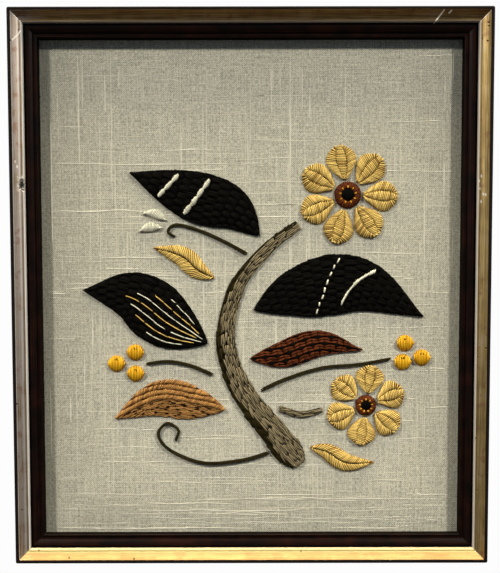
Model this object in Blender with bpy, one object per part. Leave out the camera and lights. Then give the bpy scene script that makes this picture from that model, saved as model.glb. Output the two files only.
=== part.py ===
"""Framed crewel embroidery: a mitred two-part frame, linen stretched on a board, and raised wool motifs.

Units are metres, +Z is up, and the picture faces -Y. The origin lies on the back of the top rail, at the
middle of its length, where the frame meets its wall. Sizes below are in millimetres, and MM turns them into
metres. The frame's section is measured inward from its outer edge and forward from the wall. The motifs are
laid out on the cloth from the middle of the opening, to the right and up.
"""

import math
from collections import namedtuple

import bmesh
import bpy
import numpy as np

MM = 0.001

# Driving sizes of the frame
OUTER_WIDTH = 420.0
OUTER_HEIGHT = 486.0
FRAME_DEPTH = 28.0
SEAT_GAP = 0.3
MITRE_GAP = 0.15

# Gilt outer moulding: a rounded dark outer edge, a cove that falls inward, and a bead
GILT_WIDTH = 12.4
EDGE_ROUND = 1.6
COVE_START = (2.6, FRAME_DEPTH - 0.2)
COVE_END = (9.6, FRAME_DEPTH - 5.8)
COVE_SAG = 0.7
GILT_BEAD_RADIUS = 1.2

# Dark inner moulding: a groove beside the gilt, a slope, a low fillet and a bead at the sight edge
DARK_OUTER = GILT_WIDTH + SEAT_GAP
SIGHT_EDGE = 23.7
RABBET_EDGE = 18.0
GROOVE_FORWARD = 18.4
GROOVE_INNER = 13.9
SLOPE_START = (14.2, 19.8)
SLOPE_END = (19.6, 17.6)
SLOPE_RISE = 0.5
FILLET_FORWARD = 16.4
SIGHT_BEAD_RADIUS = 0.9
LIP_BACK = 8.0

# Board and linen, which lie in the rabbet behind the lip
CLOTH_FRONT = LIP_BACK - SEAT_GAP
CLOTH_THICK = 1.2
BOARD_THICK = 4.2
BOARD_FRONT = CLOTH_FRONT - CLOTH_THICK - SEAT_GAP
CLOTH_EDGE = RABBET_EDGE + SEAT_GAP

# Wool motifs, which stand on the cloth
WOOL_BACK = CLOTH_FRONT + SEAT_GAP
WOOL_RIM = 0.7
END_HALF_WIDTH = 0.8
ACROSS = (-1.0, -0.6, 0.0, 0.6, 1.0)
DESIGN_RISE = -4.0

HANG_INSET = 6.9
CENTRE_BELOW_MOUNT = OUTER_HEIGHT / 2 - HANG_INSET

# Middle lines of the motifs, from root to tip
ROUTES = {
    "leaf_west": ((-39, -44), (-72, -26), (-106, -2), (-150, 4)),
    "leaf_east": ((2, -14), (44, 2), (96, 8), (154, -20)),
    "leaf_north": ((8, 52), (-18, 76), (-54, 88), (-108, 108)),
    "leaf_flecked": ((-23, -104), (-50, -98), (-84, -94), (-124, -112)),
    "leaf_russet": ((-2, -58), (28, -54), (62, -44), (100, -50)),
    "leaf_small_upper": ((-32, 14), (-48, 22), (-62, 34), (-88, 42)),
    "leaf_small_lower": ((52, -138), (68, -142), (86, -152), (112, -152)),
    "bough": ((44, -154), (18, -122), (-10, -84), (-23, -42), (-13, 6), (14, 40), (42, 62)),
    "twig": ((25, -103), (44, -108), (64, -104)),
    "tendril_west": ((-35, -72), (-54, -64), (-74, -60), (-94, -62)),
    "tendril_south": (
        (16, -143), (-10, -150), (-44, -152), (-74, -140),
        (-84, -126), (-76, -116), (-66, -122), (-68, -131),
    ),
    "tendril_east": ((9, -86), (34, -75), (64, -66), (96, -63), (125, -58)),
    "tendril_north": ((-4, 36), (-22, 46), (-44, 56), (-66, 62), (-74, 56), (-68, 51)),
    "bud_cream_upper": ((-76, 66), (-82, 70), (-88, 72), (-96, 72)),
    "bud_cream_lower": ((-80, 59), (-87, 60), (-93, 59), (-100, 56)),
}

# Width is a motif's widest span, and crown is its height over its rim
Motif = namedtuple("Motif", "name yarn shape width end_width crown stations")
MOTIFS = (
    Motif("leaf_west", "yarn_black", "leaf", 54, 0, 2.4, 18),
    Motif("leaf_east", "yarn_black", "leaf", 54, 0, 2.4, 18),
    Motif("leaf_north", "yarn_black", "leaf", 46, 0, 2.4, 18),
    Motif("leaf_flecked", "yarn_tan", "leaf", 35, 0, 2.0, 14),
    Motif("leaf_russet", "yarn_russet", "leaf", 27, 0, 2.0, 14),
    Motif("leaf_small_upper", "yarn_straw", "leaf", 20, 0, 1.8, 12),
    Motif("leaf_small_lower", "yarn_straw", "leaf", 18, 0, 1.8, 12),
    Motif("bough", "yarn_taupe", "bough", 29, 9, 2.2, 28),
    Motif("twig", "yarn_taupe", "taper", 6.4, 4.8, 1.2, 8),
    Motif("tendril_west", "yarn_olive", "taper", 3.4, 2.2, 0.9, 12),
    Motif("tendril_south", "yarn_olive", "taper", 3.4, 2.2, 0.9, 32),
    Motif("tendril_east", "yarn_olive", "taper", 3.4, 2.2, 0.9, 14),
    Motif("tendril_north", "yarn_olive", "taper", 3.4, 2.2, 0.9, 20),
    Motif("bud_cream_upper", "yarn_cream", "leaf", 9, 0, 1.6, 8),
    Motif("bud_cream_lower", "yarn_cream", "leaf", 9, 0, 1.6, 8),
)

# A leaf is widest a little past its middle, and a petal well past it
LEAF_LEAN = 0.87
PETAL_LEAN = 1.35
PETAL_ROOT = 0.05
PETAL_REACH = 0.915
PETAL_FULLNESS = 0.7

# A bough thins fast at first, and its cut end rounds off over a short share of its length
BOUGH_TAPER = 0.8
BUTT_LENGTH = 0.06
BUTT_WIDTH = 0.35
BUTT_ROUNDNESS = 0.6

Blossom = namedtuple("Blossom", "name middle core petal_start petal_end petals petal_width turn_deg")
BLOSSOMS = (
    Blossom("blossom_upper", (86, 88), 12.0, 14.0, 44.0, 7, 27.0, -2.0),
    Blossom("blossom_lower", (103, -100), 9.5, 11.5, 36.0, 6, 26.0, 22.0),
)
PETAL_CROWN = 2.0
PETAL_STATIONS = 10
CORE_CROWN = 2.4
DOME_STATIONS = 12

BERRY_RADIUS = 7.4
BERRY_CROWN = 2.6
BERRIES = (
    ("berry_west_1", (-104, -52)),
    ("berry_west_2", (-121, -62)),
    ("berry_west_3", (-104, -71)),
    ("berry_east_1", (138, -44)),
    ("berry_east_2", (153, -57)),
    ("berry_east_3", (136, -61)),
)

# Colour, roughness and metallic value of each material
FINISHES = {
    "gilt": ((0.52, 0.36, 0.15), 0.38, 0.85),
    "dark_stain": ((0.025, 0.014, 0.010), 0.40, 0.0),
    "board": ((0.30, 0.22, 0.14), 0.85, 0.0),
    "linen": ((0.50, 0.46, 0.35), 0.90, 0.0),
    "yarn_black": ((0.012, 0.010, 0.008), 0.80, 0.0),
    "yarn_russet": ((0.13, 0.035, 0.013), 0.80, 0.0),
    "yarn_tan": ((0.38, 0.19, 0.06), 0.75, 0.0),
    "yarn_straw": ((0.60, 0.43, 0.14), 0.70, 0.0),
    "yarn_gold": ((0.68, 0.36, 0.03), 0.70, 0.0),
    "yarn_taupe": ((0.15, 0.12, 0.08), 0.85, 0.0),
    "yarn_olive": ((0.045, 0.036, 0.018), 0.85, 0.0),
    "yarn_cream": ((0.72, 0.70, 0.60), 0.75, 0.0),
}


def clear_scene():
    """Removes the objects that the scene starts with."""
    for obj in list(bpy.data.objects):
        bpy.data.objects.remove(obj)


def make_material(name):
    """A Principled material with the finish that the table gives."""
    colour, roughness, metallic = FINISHES[name]
    material = bpy.data.materials.new(name)
    material.use_nodes = True
    shader = material.node_tree.nodes["Principled BSDF"]
    shader.inputs["Base Color"].default_value = (*colour, 1.0)
    shader.inputs["Roughness"].default_value = roughness
    shader.inputs["Metallic"].default_value = metallic
    return material


def add_node(name, points, faces, material, centre, turn=0.0):
    """One sub-part, from points in millimetres as right, forward and up, turned in the picture's plane."""
    mesh = bpy.data.meshes.new(name)
    metres = [(right * MM, -forward * MM, up * MM) for right, forward, up in points]
    mesh.from_pydata(metres, [], faces)
    shape = bmesh.new()
    shape.from_mesh(mesh)
    bmesh.ops.recalc_face_normals(shape, faces=shape.faces)
    shape.to_mesh(mesh)
    shape.free()
    mesh.materials.append(material)
    obj = bpy.data.objects.new(name, mesh)
    bpy.context.scene.collection.objects.link(obj)
    obj.parent = centre
    obj.rotation_euler = (0.0, turn, 0.0)
    return obj


def arc(middle, radius, first_deg, last_deg, steps):
    """Points of an arc in a moulding's section, from one angle to another, where 0 points inward."""
    inward, forward = middle
    angles = np.radians(np.linspace(first_deg, last_deg, steps + 1))
    return [(inward + radius * math.cos(a), forward + radius * math.sin(a)) for a in angles]


def bowed(start, end, rise, steps):
    """Points from start to end along a shallow parabola that rises forward by rise at its middle."""
    shares = np.linspace(0.0, 1.0, steps + 1)
    return [
        (
            start[0] + (end[0] - start[0]) * t,
            start[1] + (end[1] - start[1]) * t + 4 * rise * t * (1 - t),
        )
        for t in shares
    ]


def gilt_section():
    """The gilt moulding's section, as inward and forward points."""
    bead_middle = (COVE_END[0] + GILT_BEAD_RADIUS, COVE_END[1])
    section = [(0.0, 0.0)]
    section += arc((EDGE_ROUND, FRAME_DEPTH - EDGE_ROUND), EDGE_ROUND, 180, 90, 4)
    section += bowed(COVE_START, COVE_END, -COVE_SAG, 5)
    section += arc(bead_middle, GILT_BEAD_RADIUS, 150, 0, 5)
    section += [(GILT_WIDTH, COVE_END[1] - GILT_BEAD_RADIUS), (GILT_WIDTH, 0.0)]
    return section


def dark_section():
    """The dark moulding's section, with the rabbet that holds the board behind its lip."""
    bead_middle = (SIGHT_EDGE - SIGHT_BEAD_RADIUS, FILLET_FORWARD)
    section = [(DARK_OUTER, 0.0), (DARK_OUTER, GROOVE_FORWARD), (GROOVE_INNER, GROOVE_FORWARD)]
    section += bowed(SLOPE_START, SLOPE_END, SLOPE_RISE, 4)
    section += [(SLOPE_END[0] + 0.4, FILLET_FORWARD), (SIGHT_EDGE - 2.2, FILLET_FORWARD)]
    section += arc(bead_middle, SIGHT_BEAD_RADIUS, 150, 0, 5)
    section += [(SIGHT_EDGE, LIP_BACK), (RABBET_EDGE, LIP_BACK), (RABBET_EDGE, 0.0)]
    return section


def add_rails(kind, section, material, centre):
    """Four mitred rails of one moulding, each MITRE_GAP clear of its mitre planes."""
    sides = (
        ("top", OUTER_WIDTH, OUTER_HEIGHT, 0.0),
        ("right", OUTER_HEIGHT, OUTER_WIDTH, math.pi / 2),
        ("bottom", OUTER_WIDTH, OUTER_HEIGHT, math.pi),
        ("left", OUTER_HEIGHT, OUTER_WIDTH, -math.pi / 2),
    )
    count = len(section)
    for side, length, span, turn in sides:
        points = []
        for hand in (-1, 1):
            for inward, forward in section:
                along = length / 2 - inward - MITRE_GAP
                points.append((hand * along, forward, span / 2 - inward))
        faces = [(i, (i + 1) % count, count + (i + 1) % count, count + i) for i in range(count)]
        faces += [tuple(range(count)), tuple(range(count, 2 * count))]
        add_node(f"{kind}_{side}", points, faces, material, centre, turn)


def add_sheet(name, back, front, material, centre):
    """A flat rectangle that fills the rabbet but for its gap, between two depths."""
    half_width = OUTER_WIDTH / 2 - CLOTH_EDGE
    half_height = OUTER_HEIGHT / 2 - CLOTH_EDGE
    corners = ((-1, -1), (1, -1), (1, 1), (-1, 1))
    points = [
        (right * half_width, forward, up * half_height)
        for forward in (back, front)
        for right, up in corners
    ]
    faces = [(0, 1, 2, 3), (4, 5, 6, 7)]
    faces += [(i, (i + 1) % 4, 4 + (i + 1) % 4, 4 + i) for i in range(4)]
    add_node(name, points, faces, material, centre)


def smooth_route(points, shares):
    """Places at these shares of a smooth curve through the points, read from a Catmull-Rom curve."""
    given = np.array(points, float)
    ends = np.vstack([2 * given[0] - given[1], given, 2 * given[-1] - given[-2]])
    spans = len(given) - 1
    fine = np.linspace(0.0, spans, 40 * spans + 1)
    span = np.minimum(fine.astype(int), spans - 1)
    t = (fine - span)[:, None]
    a, b, c, d = (ends[span + k] for k in range(4))
    bend = 2 * a - 5 * b + 4 * c - d
    twist = 3 * b - a - 3 * c + d
    curve = (2 * b + (c - a) * t + bend * t**2 + twist * t**3) / 2
    run = np.concatenate([[0.0], np.cumsum(np.linalg.norm(np.diff(curve, axis=0), axis=1))])
    at = np.asarray(shares) * run[-1]
    return np.stack([np.interp(at, run, curve[:, k]) for k in range(2)], axis=1)


def half_widths(shape, t, width, end_width):
    """Half the width at each share t of the way along a motif."""
    if shape == "leaf":
        half = width / 2 * np.sin(np.pi * t**LEAF_LEAN)
    elif shape == "petal":
        lean = (PETAL_ROOT + PETAL_REACH * t) ** PETAL_LEAN
        half = width / 2 * np.sin(np.pi * lean) ** PETAL_FULLNESS
    elif shape == "round":
        half = width / 2 * np.sqrt(np.clip(1 - (2 * t - 1) ** 2, 0, None))
    elif shape == "bough":
        butt = BUTT_WIDTH + (1 - BUTT_WIDTH) * np.clip(t / BUTT_LENGTH, 0, 1) ** BUTT_ROUNDNESS
        half = (width + (end_width - width) * t**BOUGH_TAPER) / 2 * butt
    else:
        half = (width + (end_width - width) * t) / 2
    return np.maximum(half, END_HALF_WIDTH)


def stations_of(shape, count):
    """Shares of a motif's length at which its section is drawn, closer together at round ends."""
    even = np.linspace(0.0, 1.0, count)
    return even if shape == "taper" else (1 - np.cos(np.pi * even)) / 2


def add_motif(motif, route, materials, centre):
    """One raised wool motif: a crowned pad with a flat back, swept along its middle line."""
    t = stations_of(motif.shape, motif.stations)
    line = smooth_route(route, t)
    way = np.gradient(line, axis=0)
    way /= np.linalg.norm(way, axis=1)[:, None]
    side = np.stack([-way[:, 1], way[:, 0]], axis=1)
    half = half_widths(motif.shape, t, motif.width, motif.end_width)
    swell = np.clip(half / half.max(), 0.2, 1.0) ** 0.5
    points = []
    for place, aside, reach, fullness in zip(line, side, half, swell):
        loop = [(-1.0, WOOL_BACK)]
        loop += [(w, WOOL_BACK + WOOL_RIM + motif.crown * fullness * (1 - w * w)) for w in ACROSS]
        loop += [(1.0, WOOL_BACK)]
        for w, forward in loop:
            right, up = place + aside * reach * w
            points.append((right, forward, up + DESIGN_RISE))
    ring = len(ACROSS) + 2
    faces = [
        (r * ring + i, r * ring + (i + 1) % ring, (r + 1) * ring + (i + 1) % ring, (r + 1) * ring + i)
        for r in range(motif.stations - 1)
        for i in range(ring)
    ]
    last = (motif.stations - 1) * ring
    faces += [tuple(range(ring)), tuple(range(last, last + ring))]
    add_node(motif.name, points, faces, materials[motif.yarn], centre)


def add_round(name, yarn, middle, radius, crown, materials, centre):
    """A low round dome of wool."""
    right, up = middle
    route = tuple((right + share * radius, up) for share in (-1.0, -0.4, 0.4, 1.0))
    add_motif(Motif(name, yarn, "round", 2 * radius, 0, crown, DOME_STATIONS), route, materials, centre)


def add_blossom(blossom, materials, centre):
    """A ring of petals round a domed core."""
    core = f"{blossom.name}_core"
    add_round(core, "yarn_russet", blossom.middle, blossom.core, CORE_CROWN, materials, centre)
    for petal in range(blossom.petals):
        angle = math.radians(blossom.turn_deg) + 2 * math.pi * petal / blossom.petals
        route = tuple(
            (
                blossom.middle[0] + radius * math.cos(angle),
                blossom.middle[1] + radius * math.sin(angle),
            )
            for radius in np.linspace(blossom.petal_start, blossom.petal_end, 4)
        )
        name = f"{blossom.name}_petal_{petal + 1}"
        shape = Motif(name, "yarn_straw", "petal", blossom.petal_width, 0, PETAL_CROWN, PETAL_STATIONS)
        add_motif(shape, route, materials, centre)


def main():
    """Builds every sub-part under one empty at the middle of the picture's back."""
    clear_scene()
    centre = bpy.data.objects.new("picture_centre", None)
    bpy.context.scene.collection.objects.link(centre)
    centre.location = (0.0, 0.0, -CENTRE_BELOW_MOUNT * MM)
    materials = {name: make_material(name) for name in FINISHES}

    add_rails("gilt_rail", gilt_section(), materials["gilt"], centre)
    add_rails("dark_rail", dark_section(), materials["dark_stain"], centre)
    add_sheet("backing_board", BOARD_FRONT - BOARD_THICK, BOARD_FRONT, materials["board"], centre)
    add_sheet("linen", CLOTH_FRONT - CLOTH_THICK, CLOTH_FRONT, materials["linen"], centre)

    for motif in MOTIFS:
        add_motif(motif, ROUTES[motif.name], materials, centre)
    for blossom in BLOSSOMS:
        add_blossom(blossom, materials, centre)
    for name, middle in BERRIES:
        add_round(name, "yarn_gold", middle, BERRY_RADIUS, BERRY_CROWN, materials, centre)


main()
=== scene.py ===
"""Dresses the framed crewel embroidery: worn gilt and dark rails, slub linen, and wool stitches.

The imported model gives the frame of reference: X to the viewer's right, the picture facing -Y, and Z up,
in metres. The motifs' sizes are in millimetres on the cloth, measured from the middle of the opening, to
the right and up. Each new piece is worked out with numpy as a grid of two parameters or as a profile that
is carried along a path.
"""

from __future__ import annotations

import logging
import math
import sys
from dataclasses import dataclass, field
from enum import Enum
from typing import Any, Sequence, Union

import bpy
import numpy as np
from mathutils import Matrix, Vector

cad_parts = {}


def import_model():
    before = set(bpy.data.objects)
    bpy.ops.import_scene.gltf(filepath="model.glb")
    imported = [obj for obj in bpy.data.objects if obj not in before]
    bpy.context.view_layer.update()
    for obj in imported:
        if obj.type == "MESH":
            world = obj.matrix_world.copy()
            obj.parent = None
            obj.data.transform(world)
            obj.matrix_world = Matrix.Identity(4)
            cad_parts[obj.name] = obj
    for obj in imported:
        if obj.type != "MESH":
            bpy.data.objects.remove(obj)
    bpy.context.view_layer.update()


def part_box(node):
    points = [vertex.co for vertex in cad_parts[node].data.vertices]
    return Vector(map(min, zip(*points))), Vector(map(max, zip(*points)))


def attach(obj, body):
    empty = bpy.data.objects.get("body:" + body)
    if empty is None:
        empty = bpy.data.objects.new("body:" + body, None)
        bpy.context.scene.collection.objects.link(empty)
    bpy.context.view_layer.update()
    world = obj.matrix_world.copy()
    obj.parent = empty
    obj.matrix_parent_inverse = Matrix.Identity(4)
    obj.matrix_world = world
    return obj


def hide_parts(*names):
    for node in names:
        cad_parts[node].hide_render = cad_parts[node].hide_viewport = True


LOG = logging.getLogger("embroidery")
Array = np.ndarray
Colour = tuple[float, float, float]
Point = tuple[float, float]

MM = 0.001
BODY = "root"

# Sizes of the frame that the model's boxes don't give, in millimetres
GILT_WIDTH = 12.4
RAIL_GAP = 0.3
MITRE_GAP = 0.15
RABBET_EDGE = 18.0
SIGHT_EDGE = 23.7


@dataclass(frozen=True)
class View:
    """The camera at the photograph's angle, which also places the wear that shows in the photograph."""

    eye: tuple[float, float, float] = (-0.0009, -0.85, -0.2369)
    pitch_deg: float = -3.535
    yaw_deg: float = 0.015
    roll_deg: float = -0.098
    lens_mm: float = 59.02
    rise: float = 0.1086
    sensor_mm: float = 36.0
    pixels: tuple[int, int] = (500, 573)

    def matrix(self) -> Matrix:
        """The camera's place and turns.

        Returns:
            The camera's matrix in the world.
        """
        yaw = Matrix.Rotation(math.radians(self.yaw_deg), 4, "Z")
        pitch = Matrix.Rotation(math.radians(90.0 + self.pitch_deg), 4, "X")
        roll = Matrix.Rotation(math.radians(self.roll_deg), 4, "Z")
        return Matrix.Translation(self.eye) @ yaw @ pitch @ roll

    def on_plane(self, pixel: Point, front: float) -> Point:
        """Where the sight line through a pixel meets the upright plane at this Y, as X and Z in metres.

        Args:
            pixel: Across and down from the photograph's corner.
            front: The plane's Y.

        Returns:
            The place's X and Z.
        """
        focal = self.lens_mm / self.sensor_mm * self.pixels[1]
        across = (pixel[0] - self.pixels[0] / 2) / focal
        up = (self.pixels[1] * (0.5 + self.rise) - pixel[1]) / focal
        way = self.matrix().to_3x3() @ Vector((across, up, -1.0))
        share = (front - self.eye[1]) / way.y
        return self.eye[0] + way.x * share, self.eye[2] + way.z * share


VIEW = View()


class Wire:
    """A node's output that takes part in Python arithmetic, each operator adding a Math node."""

    def __init__(self, graph: "Graph", socket: bpy.types.NodeSocket) -> None:
        """Holds the output socket and the graph that it belongs to."""
        self.graph = graph
        self.socket = socket

    def math(self, operation: str, *others: "Value") -> "Wire":
        """This value as the first input of a Math node."""
        return self.graph.math(operation, self, *others)

    def __add__(self, other: "Value") -> "Wire":
        """The sum."""
        return self.math("ADD", other)

    def __sub__(self, other: "Value") -> "Wire":
        """The difference."""
        return self.math("SUBTRACT", other)

    def __mul__(self, other: "Value") -> "Wire":
        """The product."""
        return self.math("MULTIPLY", other)

    def __truediv__(self, other: "Value") -> "Wire":
        """The quotient."""
        return self.math("DIVIDE", other)

    def __rsub__(self, other: "Value") -> "Wire":
        """A number less this value."""
        return self.graph.math("SUBTRACT", other, self)

    __radd__ = __add__
    __rmul__ = __mul__


Value = Union[Wire, float]


class Graph:
    """A material's node tree, with short ways to add nodes."""

    def __init__(self, name: str) -> None:
        """Starts a new material with an empty tree.

        Args:
            name: The material's name.
        """
        self.material = bpy.data.materials.new(name)
        self.material.use_nodes = True
        self.tree = self.material.node_tree
        self.tree.nodes.clear()

    def node(self, kind: str, settings: dict[str, Any], inputs: dict[Any, Any], output: Any = 0) -> Wire:
        """Adds a node.

        Args:
            kind: The node's type.
            settings: Attributes of the node, set first.
            inputs: Values or wires by socket name, identifier or number.
            output: The name, identifier or number of the output that is returned.

        Returns:
            The chosen output.
        """
        node = self.tree.nodes.new(kind)
        for key, value in settings.items():
            setattr(node, key, value)
        for key, value in inputs.items():
            socket = self.pick(node.inputs, key)
            if isinstance(value, Wire):
                self.tree.links.new(value.socket, socket)
            else:
                socket.default_value = value
        return Wire(self, self.pick(node.outputs, output) if len(node.outputs) else None)

    @staticmethod
    def pick(sockets: Any, key: Any) -> bpy.types.NodeSocket:
        """The socket with this number, identifier or name."""
        if isinstance(key, int):
            return sockets[key]
        return next((s for s in sockets if s.identifier == key), None) or sockets[key]

    def math(self, operation: str, *values: Value) -> Wire:
        """A Math node on these values."""
        return self.node("ShaderNodeMath", {"operation": operation}, dict(enumerate(values)))

    def ramp(self, value: Value, low: float, high: float, smooth: bool = True) -> Wire:
        """A value that goes from 0 to 1 while the input goes from low to high.

        Args:
            value: The input.
            low: Where the result is 0.
            high: Where it is 1.
            smooth: Whether it eases in and out.

        Returns:
            The result.
        """
        settings = {"interpolation_type": "SMOOTHSTEP" if smooth else "LINEAR", "clamp": True}
        inputs = {"Value": value, "From Min": low, "From Max": high}
        return self.node("ShaderNodeMapRange", settings, inputs)

    def mix(self, factor: Value, first: Any, second: Any, blend: str = "MIX") -> Wire:
        """Two colours mixed by a factor.

        Args:
            factor: The second colour's share.
            first: A colour or wire.
            second: The other.
            blend: How the second is blended in.

        Returns:
            The mixed colour.
        """
        settings = {"data_type": "RGBA", "blend_type": blend}
        inputs = {"Factor_Float": factor, "A_Color": rgba(first), "B_Color": rgba(second)}
        return self.node("ShaderNodeMix", settings, inputs, "Result_Color")

    def place(self) -> Wire:
        """The point's object coordinates."""
        return self.node("ShaderNodeTexCoord", {}, {}, "Object")

    def uv(self) -> Wire:
        """The point's own UV map."""
        return self.node("ShaderNodeTexCoord", {}, {}, "UV")

    def axes(self, vector: Wire) -> tuple[Wire, Wire, Wire]:
        """A vector's three components."""
        node = self.node("ShaderNodeSeparateXYZ", {}, {0: vector}).socket.node
        return tuple(Wire(self, node.outputs[k]) for k in range(3))

    def stretched(self, vector: Wire, scale: tuple[float, float, float]) -> Wire:
        """A vector scaled on each axis."""
        return self.node("ShaderNodeMapping", {}, {"Vector": vector, "Scale": scale})

    def noise(self, vector: Wire, scale: float, detail: float = 2.0, rough: float = 0.5) -> Wire:
        """A noise value about one half."""
        inputs = {"Vector": vector, "Scale": scale, "Detail": detail, "Roughness": rough}
        return self.node("ShaderNodeTexNoise", {}, inputs, "Fac")

    def drawn_out(
        self, vector: Wire, scale: tuple[float, float, float], detail: float = 2.0, rough: float = 0.5
    ) -> Wire:
        """A noise value about one half, with a scale of its own on each axis."""
        return self.noise(self.stretched(vector, scale), 1.0, detail, rough)

    def shade(self) -> Wire:
        """The point's own shade, which varies from thread to thread."""
        return self.node("ShaderNodeAttribute", {"attribute_name": "shade"}, {}, "Fac")

    def bump(self, height: Wire, depth: float) -> Wire:
        """A normal from a height that is worth this depth in metres."""
        return self.node("ShaderNodeBump", {}, {"Height": height, "Distance": depth})

    def spot(
        self, place: Wire, middle: tuple[float, float, float], radius: float, rag: Wire | None = None
    ) -> Wire:
        """A soft round mask about a point, whose rim the rag shifts where one is given.

        Args:
            place: The point's coordinates.
            middle: The spot's middle.
            radius: Its radius.
            rag: A shift of its rim.

        Returns:
            The mask.
        """
        settings = {"operation": "DISTANCE"}
        away = self.node("ShaderNodeVectorMath", settings, {0: place, 1: middle}, "Value")
        if rag is not None:
            away = away + rag
        return 1.0 - self.ramp(away, radius * 0.6, radius)

    def surface(self, **sockets: Any) -> bpy.types.Material:
        """Ends the tree in a Principled BSDF with these sockets, where an underscore stands for a space.

        Args:
            sockets: Values or wires by socket name.

        Returns:
            The finished material.
        """
        inputs = {key.replace("_", " "): value for key, value in sockets.items()}
        shader = self.node("ShaderNodeBsdfPrincipled", {}, inputs)
        self.node("ShaderNodeOutputMaterial", {}, {"Surface": shader})
        return self.material


def rgba(colour: Any) -> Any:
    """A colour with its alpha, or a wire as it is."""
    return colour if isinstance(colour, Wire) else (*colour, 1.0)


@dataclass
class Patch:
    """A mesh as arrays: points in metres, quads, a UV for each corner, and a shade for each point."""

    points: Array
    quads: Array
    uv: Array
    shade: Array
    caps: list[Array] = field(default_factory=list)

    def outward(self) -> "Patch":
        """The same closed patch with its faces turned out, by the sign of the volume that they enclose.

        Returns:
            This patch.
        """
        a, b, c, d = (self.points[self.quads[:, k]] for k in range(4))
        middle = self.points.mean(axis=0)
        volume = np.einsum("ij,ij->", a - middle, np.cross(b - middle, c - middle))
        volume += np.einsum("ij,ij->", a - middle, np.cross(c - middle, d - middle))
        if volume < 0:
            self.quads = self.quads[:, ::-1]
            self.uv = self.uv[:, ::-1]
            self.caps = [cap[::-1] for cap in self.caps]
        return self


def joined(patches: Sequence[Patch]) -> Patch:
    """Several patches as one."""
    starts = np.cumsum([0] + [len(p.points) for p in patches])
    return Patch(
        np.concatenate([p.points for p in patches]),
        np.concatenate([p.quads + start for p, start in zip(patches, starts)]),
        np.concatenate([p.uv for p in patches]),
        np.concatenate([p.shade for p in patches]),
        [cap + start for p, start in zip(patches, starts) for cap in p.caps],
    )


def linked(name: str, data: bpy.types.ID) -> bpy.types.Object:
    """A new object of this data, in the scene.

    Args:
        name: The object's name.
        data: Its data.

    Returns:
        The object.
    """
    made = bpy.data.objects.new(name, data)
    bpy.context.scene.collection.objects.link(made)
    return made


def make_piece(
    name: str,
    patch: Patch,
    material: bpy.types.Material,
    slot: str,
    replaced: Sequence[str] = (),
    sharp_deg: float = 180.0,
) -> bpy.types.Object:
    """Puts a patch into the scene as a piece that rides on the frame's body.

    Args:
        name: The piece's name.
        patch: Its mesh.
        material: Its material.
        slot: The record's material slot, which is not used.
        replaced: The CAD nodes that it stands for.
        sharp_deg: Edges that turn more than this stay sharp.

    Returns:
        The new object.
    """
    mesh = bpy.data.meshes.new(name)
    corners = np.concatenate([patch.quads.ravel(), *patch.caps]).astype(np.int32)
    sizes = np.array([4] * len(patch.quads) + [len(cap) for cap in patch.caps])
    mesh.vertices.add(len(patch.points))
    mesh.vertices.foreach_set("co", patch.points.astype(np.float32).ravel())
    mesh.loops.add(len(corners))
    mesh.loops.foreach_set("vertex_index", corners)
    mesh.polygons.add(len(sizes))
    mesh.polygons.foreach_set("loop_start", (np.cumsum(sizes) - sizes).astype(np.int32))
    mesh.polygons.foreach_set("use_smooth", np.ones(len(sizes), bool))
    mesh.update(calc_edges=True)
    uv = np.zeros((len(corners), 2), np.float32)
    uv[: patch.quads.size] = patch.uv.reshape(-1, 2)
    mesh.uv_layers.new(name="UVMap").data.foreach_set("uv", uv.ravel())
    shade = mesh.attributes.new("shade", "FLOAT", "POINT")
    shade.data.foreach_set("value", patch.shade.astype(np.float32))
    if sharp_deg < 180.0:
        mesh.set_sharp_from_angle(angle=math.radians(sharp_deg))
    mesh.validate()
    mesh.materials.append(material)
    piece = linked(name, mesh)
    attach(piece, BODY)
    if replaced:
        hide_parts(*replaced)
    LOG.info("%s: %d faces", name, len(sizes))
    return piece


def crossed(*axes: Array) -> list[Array]:
    """Every combination of the axes' values, the last axis running fastest, as one array for each axis."""
    return [values.ravel() for values in np.meshgrid(*axes, indexing="ij")]


def pairs(first: Array | float, second: Array | float) -> Array:
    """Two sets of values side by side, such as distances along a motif and aside."""
    return np.stack(np.broadcast_arrays(first, second), axis=-1)


def grid_quads(rows: int, columns: int, around: bool) -> Array:
    """The quads of a grid of points, row by row, closed on itself across its columns if around is true.

    Args:
        rows: How many rows of points there are.
        columns: How many points a row has.
        around: Whether the last column joins the first.

    Returns:
        Four point numbers for each quad.
    """
    row, column = crossed(np.arange(rows - 1), np.arange(columns if around else columns - 1))
    here = row * columns + column
    beside = row * columns + (column + 1) % columns
    return np.stack([here, here + columns, beside + columns, beside], axis=-1)


def grid_uv(along: Array, across: Array) -> Array:
    """The UV of a grid's quads from a value for each row and one for each column edge.

    Args:
        along: U for each row of points.
        across: V for each edge between columns.

    Returns:
        A UV for each corner of each quad.
    """
    rows, columns = len(along) - 1, len(across) - 1
    row, column = crossed(np.arange(rows), np.arange(columns))
    corners = ((row, column), (row + 1, column), (row + 1, column + 1), (row, column + 1))
    return np.stack([pairs(along[r], across[c]) for r, c in corners], axis=1)


STRAND_SIDES = 6
# Along each strand: where its rings lie, how much of its height it keeps there, and of its width
STRAND_STATIONS = np.array([0.0, 0.05, 0.18, 0.38, 0.62, 0.82, 0.95, 1.0])
STRAND_HEIGHTS = np.array([0.0, 0.62, 1.0, 1.0, 1.0, 1.0, 0.62, 0.0])
STRAND_WIDTHS = np.array([0.55, 0.85, 1.0, 1.05, 1.05, 1.0, 0.85, 0.55])


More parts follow.
